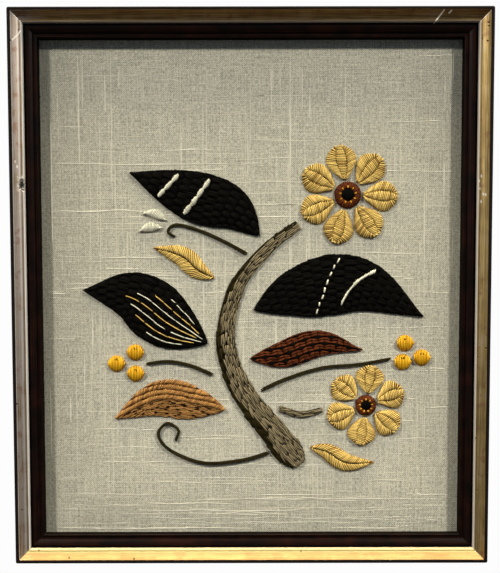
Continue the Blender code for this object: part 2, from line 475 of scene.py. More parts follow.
def strands(lines: Array, half_width: Array, half_height: Array, shade: Array) -> Patch:
    """Closed flattened tubes, one along each line.

    A ring's point is centre + a cos(p) * side + b sin(p) * rise, where side lies in the cloth across the
    line, rise stands up from it, and a and b are the half width and half height there.

    Args:
        lines: Centre points (count, stations, 3) in metres.
        half_width: Half widths that spread to (count, stations), in metres.
        half_height: Half heights that spread to the same.
        shade: One value for each line.

    Returns:
        The tubes as one patch, with UV in metres along and turns around.
    """
    count, stations, _ = lines.shape
    half_width = np.broadcast_to(half_width, (count, stations))
    half_height = np.broadcast_to(half_height, (count, stations))
    way = np.gradient(lines, axis=1)
    way /= np.linalg.norm(way, axis=2, keepdims=True) + 1e-12
    side = np.cross(way, np.array([0.0, -1.0, 0.0]))
    side /= np.linalg.norm(side, axis=2, keepdims=True) + 1e-12
    rise = np.cross(side, way)
    angle = 2 * np.pi * np.arange(STRAND_SIDES) / STRAND_SIDES
    ring = (
        lines[:, :, None]
        + side[:, :, None] * (half_width[:, :, None] * np.cos(angle))[..., None]
        + rise[:, :, None] * (half_height[:, :, None] * np.sin(angle))[..., None]
    )
    one = grid_quads(stations, STRAND_SIDES, True)
    last = (stations - 1) * STRAND_SIDES
    fan = np.array([[0, 1, 2, 3], [0, 3, 4, 5]])
    one = np.concatenate([one, fan, fan[:, ::-1] + last])
    starts = np.arange(count)[:, None, None] * stations * STRAND_SIDES
    run = np.concatenate(
        [np.zeros((count, 1)), np.cumsum(np.linalg.norm(np.diff(lines, axis=1), axis=2), axis=1)], axis=1
    )
    row = np.repeat(np.arange(stations - 1), STRAND_SIDES)
    turn = np.tile(np.arange(STRAND_SIDES), stations - 1) / STRAND_SIDES
    step = 1 / STRAND_SIDES
    uv = np.zeros((count, len(one), 4, 2))
    tube = len(row)
    for corner, (down, over) in enumerate(((0, 0), (1, 0), (1, 1), (0, 1))):
        uv[:, :tube, corner, 0] = run[:, row + down]
        uv[:, :tube, corner, 1] = turn + over * step
    return Patch(
        ring.reshape(-1, 3),
        (one[None] + starts).reshape(-1, 4),
        uv.reshape(-1, 4, 2),
        np.repeat(shade, stations * STRAND_SIDES),
    )


@dataclass(frozen=True)
class YarnFinish:
    """Stranded wool: its colour, how far its strands vary, and its sheen."""

    slot: str
    colour: Colour
    dark: Colour
    roughness: float = 0.72
    sheen: float = 0.02
    gloss: float = 0.14
    ply_pitch: float = 1.5 * MM
    plies: int = 2

    def material(self) -> bpy.types.Material:
        """Strands with a ply twist that darkens and dents them, and fine fibres along it.

        A strand's flanks carry painted shade, for the shadow of the wool that lies close against them, and
        its back is a quarter turn on.

        Returns:
            The material.
        """
        graph = Graph(self.slot)
        along, around, _ = graph.axes(graph.uv())
        shade = graph.shade()
        turns = along / self.ply_pitch + around * self.plies
        twist = (turns * (2 * math.pi)).math("SINE") * 0.5 + 0.5
        # Painted shade: the strand's colour darkens from its crest down to its flanks.
        unshaded_crest = graph.ramp((around * (2 * math.pi)).math("SINE"), 0.30, 0.98)
        fibre = graph.noise(graph.place(), 4200.0, 2.0)
        cloud = graph.noise(graph.place(), 260.0, 2.0)
        light = (twist * 0.30 + fibre * 0.35 + cloud * 0.30 + 0.28) * shade * (unshaded_crest * 0.92 + 0.08)
        colour = graph.mix(graph.ramp(light, 0.12, 0.92, False), self.dark, self.colour)
        normal = graph.bump(twist * 0.7 + fibre * 0.5, 0.14 * MM)
        return graph.surface(
            Base_Color=colour,
            Roughness=self.roughness,
            Sheen_Weight=self.sheen,
            Sheen_Roughness=0.5,
            Specular_IOR_Level=self.gloss,
            Normal=normal,
        )


class Yarn(Enum):
    """The wools of the embroidery."""

    BLACK = YarnFinish("yarn_black", (0.0038, 0.0028, 0.0016), (0.0004, 0.0003, 0.0002), 0.6, 0.0, 0.05)
    RUSSET = YarnFinish("yarn_russet", (0.168, 0.040, 0.011), (0.007, 0.0014, 0.0004), 0.65, 0.0, 0.07)
    TAN = YarnFinish("yarn_tan", (0.58, 0.285, 0.078), (0.050, 0.011, 0.001), 0.55)
    STRAW = YarnFinish("yarn_straw", (0.97, 0.68, 0.19), (0.17, 0.060, 0.002), 0.5)
    GOLD = YarnFinish("yarn_gold", (1.0, 0.56, 0.018), (0.36, 0.11, 0.001), 0.45)
    TAUPE = YarnFinish("yarn_taupe", (0.31, 0.245, 0.135), (0.012, 0.0075, 0.001), 0.7)
    OLIVE = YarnFinish("yarn_olive", (0.034, 0.025, 0.005), (0.003, 0.002, 0.0003), 0.7, 0.0, 0.07)
    CREAM = YarnFinish("yarn_cream", (0.95, 0.93, 0.75), (0.30, 0.27, 0.16), 0.55)


@dataclass(frozen=True)
class LinenFinish:
    """Oatmeal plain weave whose threads vary in tone along their length.

    The places of its stains are pixels of the photograph.
    """

    light: Colour = (0.728, 0.686, 0.543)
    dark: Colour = (0.254, 0.241, 0.189)
    # Painted shade towards the rabbet and on the left side: how dark it gets, and over what reach.
    edge_shade: float = 0.80
    left_shade: float = 0.90
    left_reach: Point = (-0.17, -0.06)
    tone_middle: float = 1.90
    edge_shade_reach: float = 60 * MM
    upper_shade_reach: float = 30 * MM
    pitch: float = 0.9 * MM
    stains: tuple[Point, ...] = ((49.0, 402.0), (374.0, 407.0))
    stain_colour: Colour = (0.12, 0.09, 0.05)

    def material(self, opening: "Opening") -> bpy.types.Material:
        """The weave, from two sets of threads that take turns to lie on top, with painted shade towards the
        rabbet and over the left side.

        Args:
            opening: The frame's size and place.

        Returns:
            The material.
        """
        graph = Graph("linen")
        front = opening.cloth
        place = graph.place()
        x, _, z = graph.axes(place)
        bend = graph.noise(place, 45.0, 2.0) * (0.9 * MM)
        weft = ((z + bend) * (math.pi / self.pitch)).math("SINE")
        warp = ((x + bend) * (math.pi / self.pitch)).math("SINE")
        over = weft * warp
        rows = graph.drawn_out(place, (28.0, 0.0, 1150.0), 2.0, 0.6)
        columns = graph.drawn_out(place, (1150.0, 0.0, 28.0), 2.0, 0.6)
        broad = graph.drawn_out(place, (40.0, 0.0, 130.0), 3.0)
        fibre = graph.noise(place, 1500.0, 2.0)
        picks = graph.drawn_out(place, (330.0, 0.0, 1050.0), 1.0)
        ends = graph.drawn_out(place, (1050.0, 0.0, 330.0), 1.0)
        tone = rows * 0.85 + columns * 0.95 + broad * 0.15 + picks + ends + fibre * 0.9
        tone = tone + over * 0.3 - self.tone_middle
        colour = graph.mix(graph.ramp(tone, 0.05, 0.95, False), self.dark, self.light)
        # Painted shade: the cloth darkens over the last few centimetres towards the rabbet, less at the top,
        # and across its left side.
        from_side = opening.width / 2 - x.math("ABSOLUTE")
        up = z - opening.middle
        from_end = (opening.height / 2 + self.upper_shade_reach - up).math("MINIMUM", up + opening.height / 2)
        inset = SIGHT_EDGE * MM
        inner = graph.ramp(from_side.math("MINIMUM", from_end), inset, inset + self.edge_shade_reach)
        shade = inner * (1.0 - self.edge_shade) + self.edge_shade
        shade = shade * (graph.ramp(x, *self.left_reach) * (1.0 - self.left_shade) + self.left_shade)
        painted_shade_grey = graph.node("ShaderNodeCombineColor", {}, {0: shade, 1: shade, 2: shade * 0.99})
        colour = graph.mix(1.0, colour, painted_shade_grey, "MULTIPLY")
        for pixel in self.stains:
            right, up = VIEW.on_plane(pixel, front)
            mask = graph.spot(place, (right, front, up), 0.9 * MM)
            colour = graph.mix(mask * 0.7, colour, self.stain_colour)
        normal = graph.bump(over * 0.5 + rows * 1.1 + columns * 0.9 + fibre * 0.4, 0.14 * MM)
        return graph.surface(
            Base_Color=colour, Roughness=0.88, Sheen_Weight=0.1, Specular_IOR_Level=0.2, Normal=normal
        )


@dataclass(frozen=True)
class SlubFinish:
    """The pale, thicker threads that stand out in the weave."""

    light: Colour = (0.79, 0.75, 0.61)
    dark: Colour = (0.58, 0.54, 0.43)
    low: Colour = (0.56, 0.525, 0.42)
    low_shade_reach: Point = (-0.44, -0.26)

    def material(self) -> bpy.types.Material:
        """Pale thread with fibres along it, with painted shade low on the cloth, where it catches more
        light.

        Returns:
            The material.
        """
        graph = Graph("linen_slub")
        fibre = graph.noise(graph.place(), 2400.0, 3.0)
        shade = graph.shade()
        _, _, z = graph.axes(graph.place())
        # Painted shade: the thread is made darker low on the cloth.
        low = 1.0 - graph.ramp(z, *self.low_shade_reach)
        colour = graph.mix(graph.ramp(fibre * shade, 0.2, 0.75, False), self.dark, self.light)
        colour = graph.mix(low * 0.75, colour, self.low)
        normal = graph.bump(fibre, 0.1 * MM)
        return graph.surface(Base_Color=colour, Roughness=0.85, Specular_IOR_Level=0.2, Normal=normal)


@dataclass(frozen=True)
class GiltFinish:
    """Worn metal leaf over a dark stain, with the stain left bare on the outer edge.

    The places of its marks are pixels of the photograph. The slope's ends are millimetres inward from the
    frame's edge and back from its front.
    """

    gold: Colour = (0.60, 0.425, 0.165)
    bronze: Colour = (0.29, 0.19, 0.08)
    rubbed: Colour = (0.47, 0.40, 0.375)
    ridge: Colour = (0.98, 0.93, 0.87)
    bole: Colour = (0.30, 0.13, 0.075)
    lower_rail_highlight: Colour = (0.67, 0.535, 0.20)
    thin: Colour = (0.50, 0.275, 0.10)
    valley_light_tint: Colour = (1.0, 0.84, 0.34)
    upper_rail_shade: Colour = (0.052, 0.024, 0.011)
    scratched: Colour = (0.98, 0.90, 0.78)
    stain: Colour = (0.006, 0.003, 0.002)
    pine: Colour = (0.50, 0.34, 0.18)
    holes: tuple[Point, ...] = (
        (22.0, 510.0), (17.0, 511.0), (17.0, 404.0), (10.5, 40.0), (18.5, 30.0),
        (39.0, 550.0), (69.0, 558.0), (134.0, 559.0), (301.0, 551.0),
        (486.0, 348.0), (478.0, 357.0), (475.5, 438.0), (477.0, 490.0),
        (482.5, 38.5), (488.0, 40.5), (489.0, 22.0), (489.0, 25.5),
    )
    scratches: tuple[tuple[Point, Point], ...] = (
        ((11.5, 40.0), (21.0, 30.5)),
        ((434.5, 22.5), (444.5, 9.5)),
        ((449.0, 13.0), (452.0, 10.0)),
    )
    flecks: tuple[Point, ...] = (
        (481.3, 176.0), (479.2, 181.0), (480.0, 188.5), (483.3, 194.0), (485.8, 194.5), (481.0, 201.5),
        (24.5, 175.5), (24.8, 191.0), (15.0, 161.5), (17.0, 166.5),
    )
    chip: Point = (21.8, 184.2)
    chip_radius: float = 4.4 * MM
    slope: tuple[Point, Point] = ((2.6, 0.2), (9.6, 5.8))
    left_reach: Point = (-0.21, -0.17)
    warm_ends: Point = (0.04, 0.17)
    mark_radius: float = 0.85 * MM

    def on_slope(self, pixel: Point, opening: "Opening") -> Point:
        """Where a pixel's sight line meets the gilt's slope, found in a few rounds from its front.

        Args:
            pixel: Across and down from the photograph's corner.
            opening: The frame's size and place.

        Returns:
            The place's X and Z.
        """
        (outer, high), (inner, low) = self.slope
        depth = high
        for _ in range(4):
            right, up = VIEW.on_plane(pixel, opening.front + depth * MM)
            inward = min(opening.width / 2 - abs(right), opening.height / 2 - abs(up - opening.middle)) / MM
            depth = float(np.interp(inward, (outer, inner), (high, low)))
        return right, up

    def material(
        self, stain_edge: float, bead: float, face_end: float, opening: "Opening"
    ) -> bpy.types.Material:
        """The gilt on its own UV, which runs along the rail and round its section.

        The lower rail is painted the brightest, a painted highlight for light from above, and the upper the
        dullest, a painted shade.

        Args:
            stain_edge: How far round the section the dark outer edge reaches, in metres.
            bead: Where round the section the bead's front is, past which it is rubbed bright and carries a
                painted highlight.
            face_end: How far round the section the gilt reaches.
            opening: The frame's size and place.

        Returns:
            The material.
        """
        graph = Graph("gilt")
        place = graph.place()
        uv = graph.uv()
        _, round_section, _ = graph.axes(uv)
        x, depth, z = graph.axes(place)
        streaks = graph.drawn_out(uv, (16.0, 900.0, 1.0), 3.0, 0.6)
        fine = graph.drawn_out(uv, (60.0, 2600.0, 1.0), 2.0)
        cloud = graph.noise(place, 55.0, 3.0)
        grit = graph.noise(place, 900.0, 2.0)
        from_side = opening.width / 2 - x.math("ABSOLUTE")
        from_end = opening.height / 2 - (z - opening.middle).math("ABSOLUTE")
        level = 1.0 - graph.ramp(from_end - from_side, -0.04 * MM, 0.04 * MM)
        upper = level * graph.ramp(z, opening.middle - MM, opening.middle + MM)
        lower = level - upper
        colour = graph.mix(
            graph.ramp(streaks * 0.7 + fine * 0.25 + cloud * 0.3, 0.48, 0.76), self.bronze, self.gold
        )
        left = 1.0 - graph.ramp(x, *self.left_reach)
        worn = graph.ramp(cloud * 0.35 + streaks * 0.55 + fine * 0.25 + left * 0.20, 0.60, 0.78)
        colour = graph.mix(worn * 0.85, colour, self.rubbed)
        colour = graph.mix(graph.ramp(grit * 0.3 + fine * 0.7, 0.60, 0.70) * 0.4, colour, self.bole)
        reddish = graph.ramp(graph.noise(place, 140.0, 2.0) + grit * 0.25, 0.70, 0.80)
        colour = graph.mix(reddish * 0.5, colour, self.bole)
        valley = graph.ramp(round_section, bead - 2.2 * MM, bead - 0.9 * MM)
        colour = graph.mix(valley * (1.0 - lower) * (0.35 + streaks * 0.4), colour, self.bronze)
        # Painted highlight: a pale band along the left rail's cove.
        left_cove_highlight = graph.ramp(round_section, bead - 4.1 * MM, bead - 3.3 * MM)
        left_cove_highlight = left_cove_highlight * (1.0 - graph.ramp(round_section, bead - 2.3 * MM, bead - 1.7 * MM)) * left
        colour = graph.mix(left_cove_highlight * 0.4, colour, self.ridge)
        # Painted highlight, partly rubbed wear: pale lines on the outer arris and the bead, stronger on the
        # left rail.
        arris = graph.ramp(round_section, stain_edge, stain_edge + 0.2 * MM)
        arris = arris * (1.0 - graph.ramp(round_section, stain_edge + 0.7 * MM, stain_edge + 1.1 * MM))
        ridge = graph.ramp(round_section, bead + 0.2 * MM, bead + 0.5 * MM)
        ridge = ridge.math("MAXIMUM", arris * left * 0.45)
        colour = graph.mix(ridge * (0.62 + left * 0.24 + worn * 0.14), colour, self.ridge)
        mitre = 1.0 - graph.ramp(from_end - from_side, 0.35 * MM, 0.75 * MM)
        mitre = mitre * graph.ramp(from_end - from_side, 0.0, 0.05 * MM)
        colour = graph.mix(mitre * 0.8, colour, self.ridge)
        # Painted highlight: the lower rail's leaf is made brighter where light from above would fall on it.
        colour = graph.mix(lower * (0.50 + streaks * 0.4), colour, self.lower_rail_highlight)
        thin = graph.ramp(cloud * 0.75 + streaks * 0.35, 0.52, 0.62) * 0.45
        thin = thin + graph.ramp(fine, 0.46, 0.58) * 0.5
        thin = thin + graph.ramp(x.math("ABSOLUTE"), *self.warm_ends) * 0.35
        by_edge = 1.0 - graph.ramp(round_section, stain_edge + 0.8 * MM, stain_edge + 3.2 * MM)
        thin = thin + by_edge * graph.ramp(streaks * 0.7 + cloud * 0.3, 0.44, 0.54) * 0.9
        colour = graph.mix(lower * thin * (1.0 - ridge * 0.8), colour, self.thin)
        # Painted light: the lower rail's hollow before the bead is lifted to bright gold, against the shade
        # that falls there.
        painted_valley_light = lower * graph.ramp(round_section, bead - 3.0 * MM, bead - 1.6 * MM)
        colour = graph.mix(painted_valley_light * (1.0 - ridge) * 0.95, colour, self.valley_light_tint)
        # Painted shade: the upper rail's leaf is darkened, as it faces away from the light.
        colour = graph.mix(upper * (0.78 - streaks * 0.6 + ridge * 0.1), colour, self.upper_rail_shade)
        ragged = round_section + (streaks - 0.5) * (0.4 * MM) + (grit - 0.5) * (0.2 * MM)
        ragged = ragged + upper * (0.8 * MM)
        gilt = graph.ramp(ragged, stain_edge, stain_edge + 0.3 * MM)
        gilt = gilt * (1.0 - graph.ramp(round_section, face_end, face_end + 0.2 * MM))
        bare_back = graph.ramp(depth + (grit - 0.5) * (1.5 * MM), -0.6 * MM, -0.1 * MM)
        colour, gilt, ridge, dents = self.marked(opening, colour, gilt, ridge, grit)
        colour = graph.mix(gilt, self.stain, colour)
        colour = graph.mix(bare_back, colour, self.pine)
        metal = gilt * (1.0 - bare_back) * (0.92 - ridge * 0.55) * (1.0 - lower * 0.65) * (1.0 - painted_valley_light)
        rough = 0.36 + fine * 0.14 + (1.0 - gilt) * 0.2 + worn * 0.06 + lower * 0.1
        normal = graph.bump(dents + streaks * 0.3 + fine * 0.18, 0.16 * MM)
        return graph.surface(
            Base_Color=colour, Metallic=metal, Roughness=rough, Specular_IOR_Level=0.12, Normal=normal
        )

    def marked(
        self, opening: "Opening", colour: Wire, gilt: Wire, ridge: Wire, grit: Wire
    ) -> tuple[Wire, Wire, Wire, Wire]:
        """Adds the scratches, flecks, chip and nail holes that show in the photograph.

        Args:
            opening: The frame's size and place.
            colour: The leaf's colour.
            gilt: Where the leaf covers the stain.
            ridge: Where the leaf is rubbed bright, with a painted highlight.
            grit: A fine noise.

        Returns:
            The colour, the leaf and the ridge with the marks in them, and the height of the marks.
        """
        graph = colour.graph
        place = graph.place()
        for start, end in self.scratches:
            mask = self.scratch(graph, place, self.on_slope(start, opening), self.on_slope(end, opening))
            colour = graph.mix(mask, colour, self.scratched)
            gilt = gilt.math("MAXIMUM", mask)
            ridge = ridge.math("MAXIMUM", mask)
        long = graph.stretched(place, (1.0, 0.0, 0.5))
        for pixel in self.flecks:
            right, up = self.on_slope(pixel, opening)
            fleck = graph.spot(long, (right, 0.0, up * 0.5), self.mark_radius)
            colour = graph.mix(fleck * 0.75, colour, self.scratched)
        right, up = self.on_slope(self.chip, opening)
        chip = (right, 0.0, up * 0.5)
        rag = (graph.noise(place, 520.0, 3.0, 0.6) - 0.5) * (8.0 * MM)
        torn = graph.spot(long, chip, self.chip_radius, rag)
        gouge = graph.spot(long, chip, self.chip_radius * 0.74, rag)
        slit = graph.spot(long, chip, self.chip_radius * 0.34, rag)
        colour = graph.mix(torn * 0.85, colour, self.scratched)
        gilt = gilt * (1.0 - gouge * 0.84) * (1.0 - slit * 0.9)
        dents = grit * 0.04 - gouge * 1.5
        flat = graph.stretched(place, (1.0, 0.0, 1.0))
        for pixel in self.holes:
            right, up = self.on_slope(pixel, opening)
            mask = graph.spot(place, (right, opening.front, up), 8.0 * MM)
            speck = graph.spot(flat, (right, 0.0, up), self.mark_radius)
            hole = mask.math("MINIMUM", speck)
            gilt = gilt * (1.0 - hole * 0.95)
            dents = dents - hole
        return colour, gilt, ridge, dents

    @staticmethod
    def scratch(graph: Graph, place: Wire, first: Point, last: Point) -> Wire:
        """A mask along the straight line between two places, each its X and Z.

        The point's way from the start is split into a share along the line, which has to lie between 0
        and 1, and a distance aside, which has to be small.

        Args:
            graph: The material's tree.
            place: The point's coordinates.
            first: Where the scratch starts.
            last: Where it ends.

        Returns:
            The mask.
        """
        length = math.dist(first, last)
        way = ((last[0] - first[0]) / length, (last[1] - first[1]) / length)
        x, _, z = graph.axes(place)
        right = x - first[0]
        up = z - first[1]
        along = right * way[0] + up * way[1]
        aside = (right * way[1] - up * way[0]).math("ABSOLUTE")
        inside = graph.ramp(along, -0.3 * MM, 0.0) * (1.0 - graph.ramp(along, length, length + 0.3 * MM))
        return inside * (1.0 - graph.ramp(aside, 0.4 * MM, 0.85 * MM))


@dataclass(frozen=True)
class DarkStainFinish:
    """Near-black brown stain with a satin polish and a faint grain along the rail."""

    stain: Colour = (0.0028, 0.0014, 0.0008)
    grain: Colour = (0.020, 0.0048, 0.0016)
    coat: float = 0.22
    pine: Colour = (0.50, 0.34, 0.18)

    def material(self, sight: float) -> bpy.types.Material:
        """The stain on the rail's own UV, with raw wood at its back.

        Args:
            sight: How far round the section the face that looks across the opening starts, which is matte
                and carries painted shade.

        Returns:
            The material.
        """
        graph = Graph("dark_stain")
        uv = graph.uv()
        place = graph.place()
        _, depth, _ = graph.axes(place)
        _, round_section, _ = graph.axes(uv)
        polish = 1.0 - graph.ramp(round_section, sight - 0.4 * MM, sight)
        grain = graph.drawn_out(uv, (11.0, 1300.0, 1.0), 3.0, 0.6)
        cloud = graph.noise(place, 70.0, 2.0)
        grit = graph.noise(place, 1300.0, 2.0)
        # Painted shade, beside the matte finish: the grain's lighter tone is held back on the sight face.
        tone = graph.ramp(grain * 0.7 + cloud * 0.4, 0.45, 0.75) * (polish * 0.9 + 0.1)
        colour = graph.mix(tone, self.stain, self.grain)
        bare_back = graph.ramp(depth + (grit - 0.5) * (1.5 * MM), -0.9 * MM, -0.3 * MM)
        colour = graph.mix(bare_back, colour, self.pine)
        rough = 0.5 + grain * 0.14 + bare_back * 0.3
        normal = graph.bump(grain * 0.5 + grit * 0.2, 0.06 * MM)
        return graph.surface(
            Base_Color=colour,
            Roughness=rough,
            Specular_IOR_Level=0.02,
            Coat_Weight=polish * (1.0 - bare_back) * self.coat,
            Coat_Roughness=0.3,
            Normal=normal,
        )


@dataclass(frozen=True)
class BoardFinish:
    """Plain brown fibreboard."""

    light: Colour = (0.40, 0.29, 0.175)
    dark: Colour = (0.27, 0.185, 0.105)

    def material(self) -> bpy.types.Material:
        """Pressed fibres: short flecks over a soft mottle.

        Returns:
            The material.
        """
        graph = Graph("board")
        place = graph.place()
        mottle = graph.noise(place, 30.0, 4.0)
        fibre = graph.drawn_out(place, (260.0, 260.0, 900.0), 4.0, 0.7)
        colour = graph.mix(graph.ramp(mottle * 0.4 + fibre * 0.7, 0.35, 0.75), self.dark, self.light)
        normal = graph.bump(fibre, 0.25 * MM)
        return graph.surface(Base_Color=colour, Roughness=0.86, Specular_IOR_Level=0.25, Normal=normal)


class Side(Enum):
    """A side of the frame, with how far its rail is turned from the top rail's place, in degrees."""

    TOP = 0.0
    RIGHT = 90.0
    BOTTOM = 180.0
    LEFT = -90.0


@dataclass(frozen=True)
class Opening:
    """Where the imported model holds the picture, in metres."""

    width: float
    height: float
    middle: float
    front: float
    cloth: float

    @classmethod
    def of_frame(cls) -> "Opening":
        """Reads the frame's outer size, middle and front, and the cloth's front, from the nodes' boxes.

        Returns:
            The opening.
        """
        low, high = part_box("gilt_rail_left")
        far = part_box("gilt_rail_right")[1]
        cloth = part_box("linen")[0]
        height = high[2] - low[2] + 2 * MITRE_GAP * MM
        return cls(far[0] - low[0], height, (low[2] + high[2]) / 2, low[1], cloth[1])


def arc(middle: Point, radius: float, first_deg: float, last_deg: float, steps: int) -> list[Point]:
    """Points of an arc in a moulding's section, where 0 degrees points inward and 90 forward.

    Args:
        middle: The arc's centre.
        radius: Its radius.
        first_deg: Where it starts.
        last_deg: Where it ends.
        steps: How many steps it has.

    Returns:
        Its points, both ends in.
    """
    angles = np.radians(np.linspace(first_deg, last_deg, steps + 1))
    return [(middle[0] + radius * math.cos(a), middle[1] + radius * math.sin(a)) for a in angles]


def bowed(start: Point, end: Point, rise: float, steps: int) -> list[Point]:
    """Points along a shallow parabola between two points, whose middle lies forward by the rise.

    Args:
        start: One end.
        end: The other.
        rise: How far its middle lies forward.
        steps: How many steps it has.

    Returns:
        Its points, both ends in.
    """
    return [
        (start[0] + (end[0] - start[0]) * t, start[1] + (end[1] - start[1]) * t + 4 * rise * t * (1 - t))
        for t in np.linspace(0.0, 1.0, steps + 1)
    ]


@dataclass
class Moulding:
    """Four mitred rails of one section, which is in millimetres inward from the outer edge and forward.

    The faces sway by the wobble past the straight depth, and the stations lie close together at both ends.
    """

    opening: Opening
    name: str
    slot: str
    section: list[Point]
    corner_radius: float
    wobble: float
    straight_depth: float = 9.0
    stations: int = 72
    end_step: float = 0.5
    end_steps: int = 8

    def run_round(self) -> Array:
        """How far round the section each of its points lies, in metres, with the way back to the first."""
        loop = np.array(self.section + self.section[:1])
        return np.concatenate([[0.0], np.cumsum(np.linalg.norm(np.diff(loop, axis=0), axis=1))]) * MM

    def rail(self, side: Side, seed: int) -> Patch:
        """One rail as a grid of stations along it and points round its section.

        A point lies f * (half length - inward - gap) along the rail, for f from -1 to 1, so its ends lie in
        the mitre planes. Near the frame's corners its inward distance is at least that of a quarter circle,
        and every point moves in and out by a few slow waves.

        Args:
            side: The rail's side.
            seed: The seed of its waves.

        Returns:
            The rail.
        """
        upright = side in (Side.LEFT, Side.RIGHT)
        length = (self.opening.height if upright else self.opening.width) / MM
        span = (self.opening.width if upright else self.opening.height) / MM
        ends = np.linspace(0.0, self.end_step * self.end_steps, self.end_steps + 1) / (length / 2)
        middle = np.linspace(-1 + ends[-1], 1 - ends[-1], self.stations)
        share = np.concatenate([-1 + ends[:-1], middle, 1 - ends[-2::-1]])
        inward, forward = np.array(self.section).T
        along = share[:, None] * (length / 2 - inward - MITRE_GAP)
        near = np.clip(np.abs(along) - (length / 2 - self.corner_radius), 0, self.corner_radius * 0.98)
        curve = self.corner_radius - np.sqrt(self.corner_radius**2 - near**2)
        inward = np.maximum(inward, np.where(near > 0, curve, 0.0))
        waves = np.random.default_rng(seed)
        rough = sum(
            np.sin(along / waves.uniform(4, 30) + inward * waves.uniform(0.2, 2.0) + waves.uniform(0, 6.28))
            for _ in range(6)
        )
        fade = np.clip((1 - np.abs(share)) * length / 2 / 6, 0, 1)[:, None]
        deep = forward > self.straight_depth
        forward = forward + rough * self.wobble * fade * deep / 3
        right, up = along, span / 2 - inward
        turn = math.radians(side.value)
        x = right * math.cos(turn) + up * math.sin(turn)
        z = up * math.cos(turn) - right * math.sin(turn)
        points = np.stack([x * MM, -forward * MM, z * MM + self.opening.middle], axis=-1)
        count = len(self.section)
        rows = len(share)
        cap = np.arange(count)
        return Patch(
            points.reshape(-1, 3),
            grid_quads(rows, count, True),
            grid_uv(share * length / 2 * MM, self.run_round()),
            np.ones(rows * count),
            [cap, cap[::-1] + (rows - 1) * count],
        ).outward()

    def build(self, material: bpy.types.Material) -> None:
        """Makes the four rails, each in place of its CAD node.

        Args:
            material: The rails' material.
        """
        for seed, side in enumerate(Side):
            node = f"{self.name}_{side.name.lower()}"
            piece = f"{node}_finish"
            make_piece(piece, self.rail(side, seed), material, self.slot, [node], 32.0)


def gilt_moulding(opening: Opening) -> tuple[Moulding, float, float, float]:
    """The gilt moulding, and where round its section the stain ends, the bead is and the gilt ends.

    Args:
        opening: The frame's size and place.

    Returns:
        The moulding, and three distances round its section in metres.
    """
    depth = -opening.front / MM
    edge = 1.6
    bead = 1.2
    bead_drop = 0.5
    stain_over = 1.7
    cove_start, cove_end = ((inward, depth - deep) for inward, deep in GiltFinish.slope)
    side = [(0.0, 0.0), (0.0, 9.0), (0.0, 18.0)]
    rounding = arc((edge, depth - edge), edge, 180, 90, 8)
    cove = bowed(cove_start, cove_end, -0.7, 12)
    nose = arc((cove_end[0] + bead, cove_end[1] - bead_drop), bead, 155, 0, 10)
    inner = [(GILT_WIDTH, cove_end[1] - bead_drop - bead), (GILT_WIDTH, 9.0), (GILT_WIDTH, 0.0)]
    section = side + rounding + cove + nose + inner
    moulding = Moulding(opening, "gilt_rail", "gilt", section, corner_radius=2.2, wobble=0.045)
    reach = moulding.run_round()
    stained = len(side) + len(rounding) - 1
    bead_front = len(side) + len(rounding) + len(cove) + 4
    stain_edge = float(reach[stained]) + stain_over * MM
    return moulding, stain_edge, float(reach[bead_front]), float(reach[-4])


def dark_moulding(opening: Opening) -> tuple[Moulding, float]:
    """The dark moulding, whose lip holds the cloth's edge, and where its sight edge's face starts.

    Args:
        opening: The frame's size and place.

    Returns:
        The moulding, and a distance round its section in metres.
    """
    outer = GILT_WIDTH + RAIL_GAP
    sight, groove, fillet, lip = SIGHT_EDGE, 18.4, 16.4, 8.0
    bead = 0.9
    slope_start, slope_end = (14.2, 19.8), (19.6, 17.6)
    section = [(outer, 0.0), (outer, 9.5), (outer, groove), (13.9, groove)]
    section += [(13.95, slope_start[1] - 0.25)]
    section += bowed(slope_start, slope_end, 0.5, 9)
    section += [(slope_end[0] + 0.4, fillet), (sight - 2.2, fillet)]
    section += arc((sight - bead, fillet), bead, 150, 0, 9)
    face = len(section) - 1
    section += [(sight, 12.0), (sight, lip + 0.2), (sight - 0.2, lip)]
    section += [(RABBET_EDGE, lip), (RABBET_EDGE, 0.0)]
    moulding = Moulding(opening, "dark_rail", "dark_stain", section, corner_radius=0.2, wobble=0.02)
    return moulding, float(moulding.run_round()[face])


